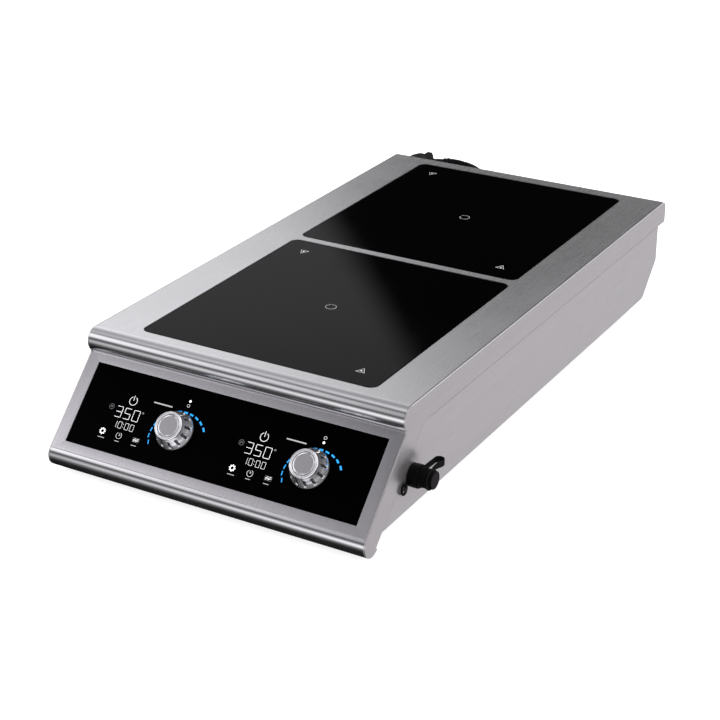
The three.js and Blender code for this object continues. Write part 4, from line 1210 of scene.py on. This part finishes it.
def cord_line():
    """Out of the gland, inward on the far layer, back outward on the near one, to the plug."""
    x, z = GLAND_X, GLAND_Z
    points = [(x, 351, z), (x, 364, z), (x, 376, z), (x - 0.3, 388, z + 0.6),
              (x - 2, 397, z + 4), (x - 6, 402, z + 11)]
    points += [coil(deg, deg / 720, FAR_Y) for deg in range(30, 721, 15)]
    for deg in range(735, 1531, 15):
        k = min(1.0, (deg - 720) / 75)
        y = FAR_Y + (NEAR_Y - FAR_Y) * k * k * (3 - 2 * k)
        points.append(coil(deg, 1 - (deg - 720) / 720, y))
    points += [(COIL_X - 14, NEAR_Y + 0.4, COIL_Z + 45.2), (COIL_X - 25, NEAR_Y + 1.4, COIL_Z + 42),
               (PLUG_X0 + 7.5, PLUG_Y - 0.2, PLUG_Z + 0.8), (PLUG_X0 - 2, PLUG_Y, PLUG_AXIS_Z)]
    return smooth_path(points, 5)


def strain_relief(line):
    """Ribs on the last stretch of the cord before the plug."""
    ribs = []
    # x, radius, half width
    for x, r, half in ((-142.4, 6.3, 0.9), (-139.4, 6.7, 1.1), (-136.3, 5.7, 0.9),
                       (-133.4, 5.3, 0.8), (-130.4, 5.3, 0.8), (-127.2, 5.6, 1.0),
                       (-124.0, 5.5, 1.1)):
        i = min(range(len(line) - 60, len(line) - 1), key=lambda i: abs(line[i][0] - x))
        frame = axis_frame(line[i], Vector(line[i + 1]) - Vector(line[i - 1]))
        profile = [(4.5, -half), (r - 0.35, -half), (r, -half + 0.35), (r, half - 0.35),
                   (r - 0.35, half), (4.5, half), (4.5, -half)]
        ribs.append(turned(profile, MAT["plug"], 40, frame))
    place(merge("cord_strain_relief", ribs), 35)


def plug():
    x0, x1, z = PLUG_X0, PLUG_X1, PLUG_Z
    outline = [(x1 + 7, z - 12), (x0 - 5, z - 12), (x0, z - 8), (x0, z + 7.5), (x0 - 2.4, z + 12.6),
               (x0 - 9.6, z + 12.6), (x0 - 11.6, z + 8.6), (x0 - 13.6, z + 7.4),
               (x0 - 15.6, z + 9.4), (x1 + 15, z + 9.2), (x1 + 3, z + 4.6), (x1, z + 1),
               (x1, z - 5), (x1 + 2, z - 9.5)]
    body = bevel(prism(outline, PLUG_Y - 9.5, PLUG_Y + 9.5, [MAT["plug"], MAT["plug_sheen_face"]],
                       plane=LENGTHWISE), 1.1, 4, 24)
    # the block's faces turned towards the front take a lighter grey: painted sheen on the black
    # plastic
    for face in body.data.polygons:
        if face.center.x > (x0 - 11.8) * MM and face.normal.y < -0.9:
            face.material_index = 1
    ribs = []
    for k in range(2):
        x, up = x1 + 5.5 + k * 5.0, z + 5.56 + k * 1.9
        section = [(x - 0.7, up - 1.0), (x + 0.7, up - 0.46), (x + 0.55, up + 0.34),
                   (x - 0.85, up - 0.2)]
        ribs.append(bevel(prism(section, PLUG_Y - 8.2, PLUG_Y + 8.2, MAT["plug"],
                                plane=LENGTHWISE), 0.25, angle=24))
    collar = turned([(5.1, -1.5), (7.2, -1.5), (7.2, 0.2), (6.8, 0.5), (6.8, 1.5), (7.1, 1.8),
                     (7.1, 3.0), (6.6, 3.3), (6.6, 4.3), (6.9, 4.6), (6.9, 5.6), (6.3, 5.9),
                     (6.3, 6.6), (6.6, 6.9), (6.4, 7.4), (6.0, 7.5), (5.2, 7.5), (5.1, 7.3),
                     (5.1, -1.5)],
                    MAT["plug"], 64, lambda u, v, w: (x0 + w, PLUG_Y + u, PLUG_AXIS_Z + v))
    pin_x = (x0 + x1) / 2 - 2
    blades = []
    for sign in (-1, 1):
        x = pin_x + sign * 6.35
        blades.append(bevel(prism(rounded(x - 0.75, x + 0.75, z - 3.2, z + 3.2, 0.3, 3),
                                  PLUG_Y + 8.6, PLUG_Y + 24, MAT["brass"], plane=LENGTHWISE),
                            0.3, angle=40))
    pin = turned([(0, 8.6), (2.4, 8.6), (2.4, 23.6), (2.0, 25.2), (1.2, 26), (0, 26)],
                 MAT["brass"], 32, lambda u, v, w: (pin_x + u, PLUG_Y + w, z - 8.4 + v))
    place(merge("plug_body", [body, collar, *ribs, *blades, pin]), 35,
          node="power_plug")


def cord_ties():
    low, high = NEAR_Y - CORD_R - 0.8, FAR_Y + CORD_R + 0.8
    thick, half_w = 1.3, 6
    left, right = COIL_X - 43.9, COIL_X - 33.7
    ob = prism(rounded(left - 7.0, right + 7.6, low - thick, high + thick, 4, 8),
               COIL_Z - half_w, COIL_Z + half_w, MAT["tie"],
               [rounded(left - 5.8, right + 6.4, low, high, 3, 8)], name="cord_tie_side")
    place(bevel(ob, 0.35, angle=40), node="cord_tie_left")
    bottom, top = COIL_Z - 41.3, COIL_Z - 26.1
    ob = prism(rounded(low - thick, high + thick, bottom - 6.9, top + 6.9, 4, 8),
               COIL_X - half_w, COIL_X + half_w, MAT["tie"],
               [rounded(low, high, bottom - 5.7, top + 5.7, 3, 8)], ACROSS, "cord_tie_low")
    place(bevel(ob, 0.35, angle=40), node="cord_tie_bottom")


gland()
cord_path = cord_line()
place(tube(cord_path, CORD_R, MAT["cord"], 24, name="cord_jacket_run"), 45,
      node="power_cord")
strain_relief(cord_path)
plug()
cord_ties()

# ------------------------------------------------------------------ inner pieces kept from the frame
# start of the node's name: material
INNER = {"glass_frame": "zinc", "coil_winding": "copper", "coil_carrier": "carrier",
         "ferrite_star": "ferrite", "coil_tray": "alu", "temp_sensor": "black",
         "power_board": "pcb", "heatsink": "alu", "fan_frame": "black", "fan_impeller": "black",
         "mains_filter": "zinc", "terminal_block": "carrier", "control_glass_frame": "black",
         "display_board": "pcb", "encoder": "zinc", "knob_shaft": "brass",
         "control_box_back": "zinc", "probe_socket_nut": "brass"}
SMOOTH_INNER = ("coil_winding", "coil_carrier", "fan_impeller", "knob_shaft", "temp_sensor")
for name, node in NODES.items():
    prefix = next((start for start in INNER if name.startswith(start)), None)
    if prefix:
        node.data.materials.clear()
        node.data.materials.append(MAT[INNER[prefix]])
        if prefix in SMOOTH_INNER:
            smooth_faces(node.data, 30)

# ------------------------------------------------------------------ surroundings
# Brightness around the hob in the plane across it: (angle, grey on the 0-255 display scale),
# the angle from the rear (0) over the top (90) to the front (180).
# The first two tables are for directions to the left and nearer the middle.
SKY_LEFT = [
    (0, 50), (14, 50), (22, 120), (27, 195), (36, 248), (44, 236), (56, 214), (66, 184),
    (78, 152), (90, 152), (102, 172), (112, 164), (121, 146), (127, 226), (138, 252), (150, 232),
    (158, 160), (165, 90), (174, 70), (186, 118), (196, 150), (208, 112), (220, 72), (232, 36),
    (250, 22), (272, 20), (286, 10), (300, 14), (320, 30), (340, 100), (358, 60)]
SKY_MIDDLE = [
    (0, 60), (14, 66), (22, 84), (30, 142), (36, 174), (42, 148), (54, 124), (66, 120),
    (78, 148), (90, 192), (102, 212), (112, 128), (121, 38), (128, 60), (138, 96), (150, 100),
    (160, 78), (168, 90), (178, 184), (186, 252), (196, 224), (206, 126), (218, 62), (230, 30),
    (250, 22), (272, 24), (286, 26), (300, 40), (320, 120), (340, 160), (358, 60)]
SKY_RIGHT = [
    (0, 200), (15, 245), (45, 250), (60, 235), (80, 215), (100, 225), (120, 200), (140, 210),
    (160, 160), (176, 170), (190, 230), (210, 240), (240, 225), (262, 160), (280, 140),
    (310, 150), (325, 160), (335, 165), (350, 165), (359, 180)]
CONTRAST = 0.25                                  # how far left and middle are pushed apart
STEEL_REFLECTANCE = 0.62
SKY_TINT = (1.0, 0.985, 1.02)
# soft box low over the rear, at its left and right, and the dark room beyond it
BOX_LEFT, BOX_RIGHT, BOX_DARK = (1.2, 1.18, 1.22), (1.06, 1.04, 1.08), (0.030, 0.030, 0.031)


def linear(grey):
    grey = grey / 255.0
    return grey / 12.92 if grey <= 0.04045 else ((grey + 0.055) / 1.055) ** 2.4


def level_at(table, angle):
    for (a0, v0), (a1, v1) in zip(table, table[1:]):
        if a0 <= angle <= a1:
            return v0 + (v1 - v0) * (angle - a0) / (a1 - a0)


def spread(table, other):
    """Pushes a table away from the other one."""
    return [(a, min(290.0, max(4.0, v + (v - level_at(other, a)) * CONTRAST))) for a, v in table]


def surroundings(n, direction):
    """Adds nodes that give the studio's colour for a direction."""
    def sky(turn, table):
        node = n.node("ValToRGB")
        elements = node.color_ramp.elements
        elements.remove(elements[-1])
        for i, (angle, grey) in enumerate(table):
            element = elements.new(angle / 360.0) if i else elements[0]
            element.position = angle / 360.0
            brightness = linear(grey) / STEEL_REFLECTANCE
            element.color = (*(brightness * tint for tint in SKY_TINT), 1)
        n.put(node.inputs[0], turn)
        return node.outputs[0]

    def flat(color):
        node = n.node("RGB")
        node.outputs[0].default_value = (*color, 1)
        return node.outputs[0]

    split = n.node("SeparateXYZ")
    n.put(split.inputs[0], direction)
    x, y, z = split.outputs
    turn = n.calc("DIVIDE", n.calc("ARCTAN2", z, y), 2 * math.pi)
    turn = n.calc("FRACT", n.calc("ADD", turn, 1.0))
    color = n.mix(n.remap(x, low=-0.66, high=-0.35), sky(turn, spread(SKY_LEFT, SKY_MIDDLE)),
                  sky(turn, spread(SKY_MIDDLE, SKY_LEFT)))
    # the soft box has a slanted edge: x grows with the angle
    edge_per_turn, edge_start = 0.01258 * 360, -0.7811
    edge = n.calc("ADD", n.calc("MULTIPLY", turn, edge_per_turn), edge_start)
    inside = n.remap(n.calc("SUBTRACT", x, edge), low=0.011, high=-0.017, kind="SMOOTHSTEP")
    lit = n.mix(n.remap(x, low=-0.60, high=-0.42), flat(BOX_LEFT), flat(BOX_RIGHT))
    near_horizon = n.mix(inside, flat(BOX_DARK), lit)
    above = n.remap(turn, low=30 / 360, high=36 / 360, kind="SMOOTHSTEP")
    color = n.mix(above, near_horizon, color)
    rightward = n.remap(x, low=-0.16, high=0.10, kind="SMOOTHSTEP")
    return n.mix(rightward, color, sky(turn, SKY_RIGHT))


def studio_world():
    """Plain pale light, with the studio seen only in reflections."""
    world = bpy.data.worlds.new("studio")
    scene.world = world
    n = Nodes(world)
    plain, studio = n.node("Background"), n.node("Background")
    n.put(studio.inputs["Color"], surroundings(n, n.node("TexCoord").outputs["Generated"]))
    n.put(plain.inputs["Color"], (0.98, 0.98, 1.0))
    n.put(plain.inputs["Strength"], 0.75)
    n.glossy_switch(plain.outputs[0], studio.outputs[0], n.node("OutputWorld").inputs["Surface"])


def pale_floor():
    """Pale floor; reflections of it follow the same surroundings."""
    mat = bpy.data.materials.new("pale_floor")
    n = Nodes(mat)
    onward = n.node("VectorMath", operation="SCALE")
    onward.inputs["Scale"].default_value = -1.0
    n.put(onward.inputs[0], n.node("NewGeometry").outputs["Incoming"])
    mirrored = n.node("Emission")
    n.put(mirrored.inputs["Color"], surroundings(n, onward.outputs[0]))
    diffuse = n.node("BsdfDiffuse")
    n.put(diffuse.inputs["Color"], (0.62, 0.62, 0.625))
    lift = n.node("Emission")
    n.put(lift.inputs["Color"], (1, 1, 1))
    n.put(lift.inputs["Strength"], 0.72)
    both = n.node("AddShader")
    n.put(both.inputs[0], diffuse.outputs[0])
    n.put(both.inputs[1], lift.outputs[0])
    n.glossy_switch(both.outputs[0], mirrored.outputs[0],
                    n.node("OutputMaterial").inputs["Surface"])
    half, z = 9, -0.0252                         # metres, just under the feet
    corners = [(-half, -half, z), (half, -half, z), (half, half, z), (-half, half, z)]
    new_object("floor", corners, [[0, 1, 2, 3]], mat, scale=1.0, recalc=False)


def area_light(name, location, target, size, power):
    """Square light, hidden from the camera and reflections; metres and watts."""
    light = bpy.data.lights.new(name, "AREA")
    light.energy = power
    light.shape = "RECTANGLE"
    light.size = light.size_y = size
    ob = bpy.data.objects.new(name, light)
    scene.collection.objects.link(ob)
    ob.location = location
    ob.rotation_euler = (Vector(target) - Vector(location)).to_track_quat("-Z", "Y").to_euler()
    ob.visible_glossy = False
    ob.visible_camera = False


def camera():
    data = bpy.data.cameras.new("camera")
    data.sensor_width = 36.0
    data.lens = 89.12088862
    data.clip_start, data.clip_end = 0.05, 60
    ob = bpy.data.objects.new("camera", data)
    scene.collection.objects.link(ob)
    # rotation in the first three columns, place in metres in the last
    ob.matrix_world = Matrix([
        [0.86470124, -0.21165261, 0.45551612, 0.92219875],
        [0.50228261, 0.36794682, -0.78251346, -1.64129112],
        [-0.00198469, 0.90543819, 0.4244735, 0.88192043],
        [0, 0, 0, 1]])
    scene.camera = ob


studio_world()
pale_floor()
area_light("key", (-1.2, -1.4, 2.4), target=(0, 0, 0), size=2.2, power=46)
area_light("fill", (1.8, -0.6, 1.8), target=(0, 0, 0.05), size=2.0, power=26)
area_light("top", (0, 0.6, 2.6), target=(0, 0.1, 0), size=2.6, power=30)
camera()
scene.view_settings.view_transform = "Standard"
scene.view_settings.look = "None"
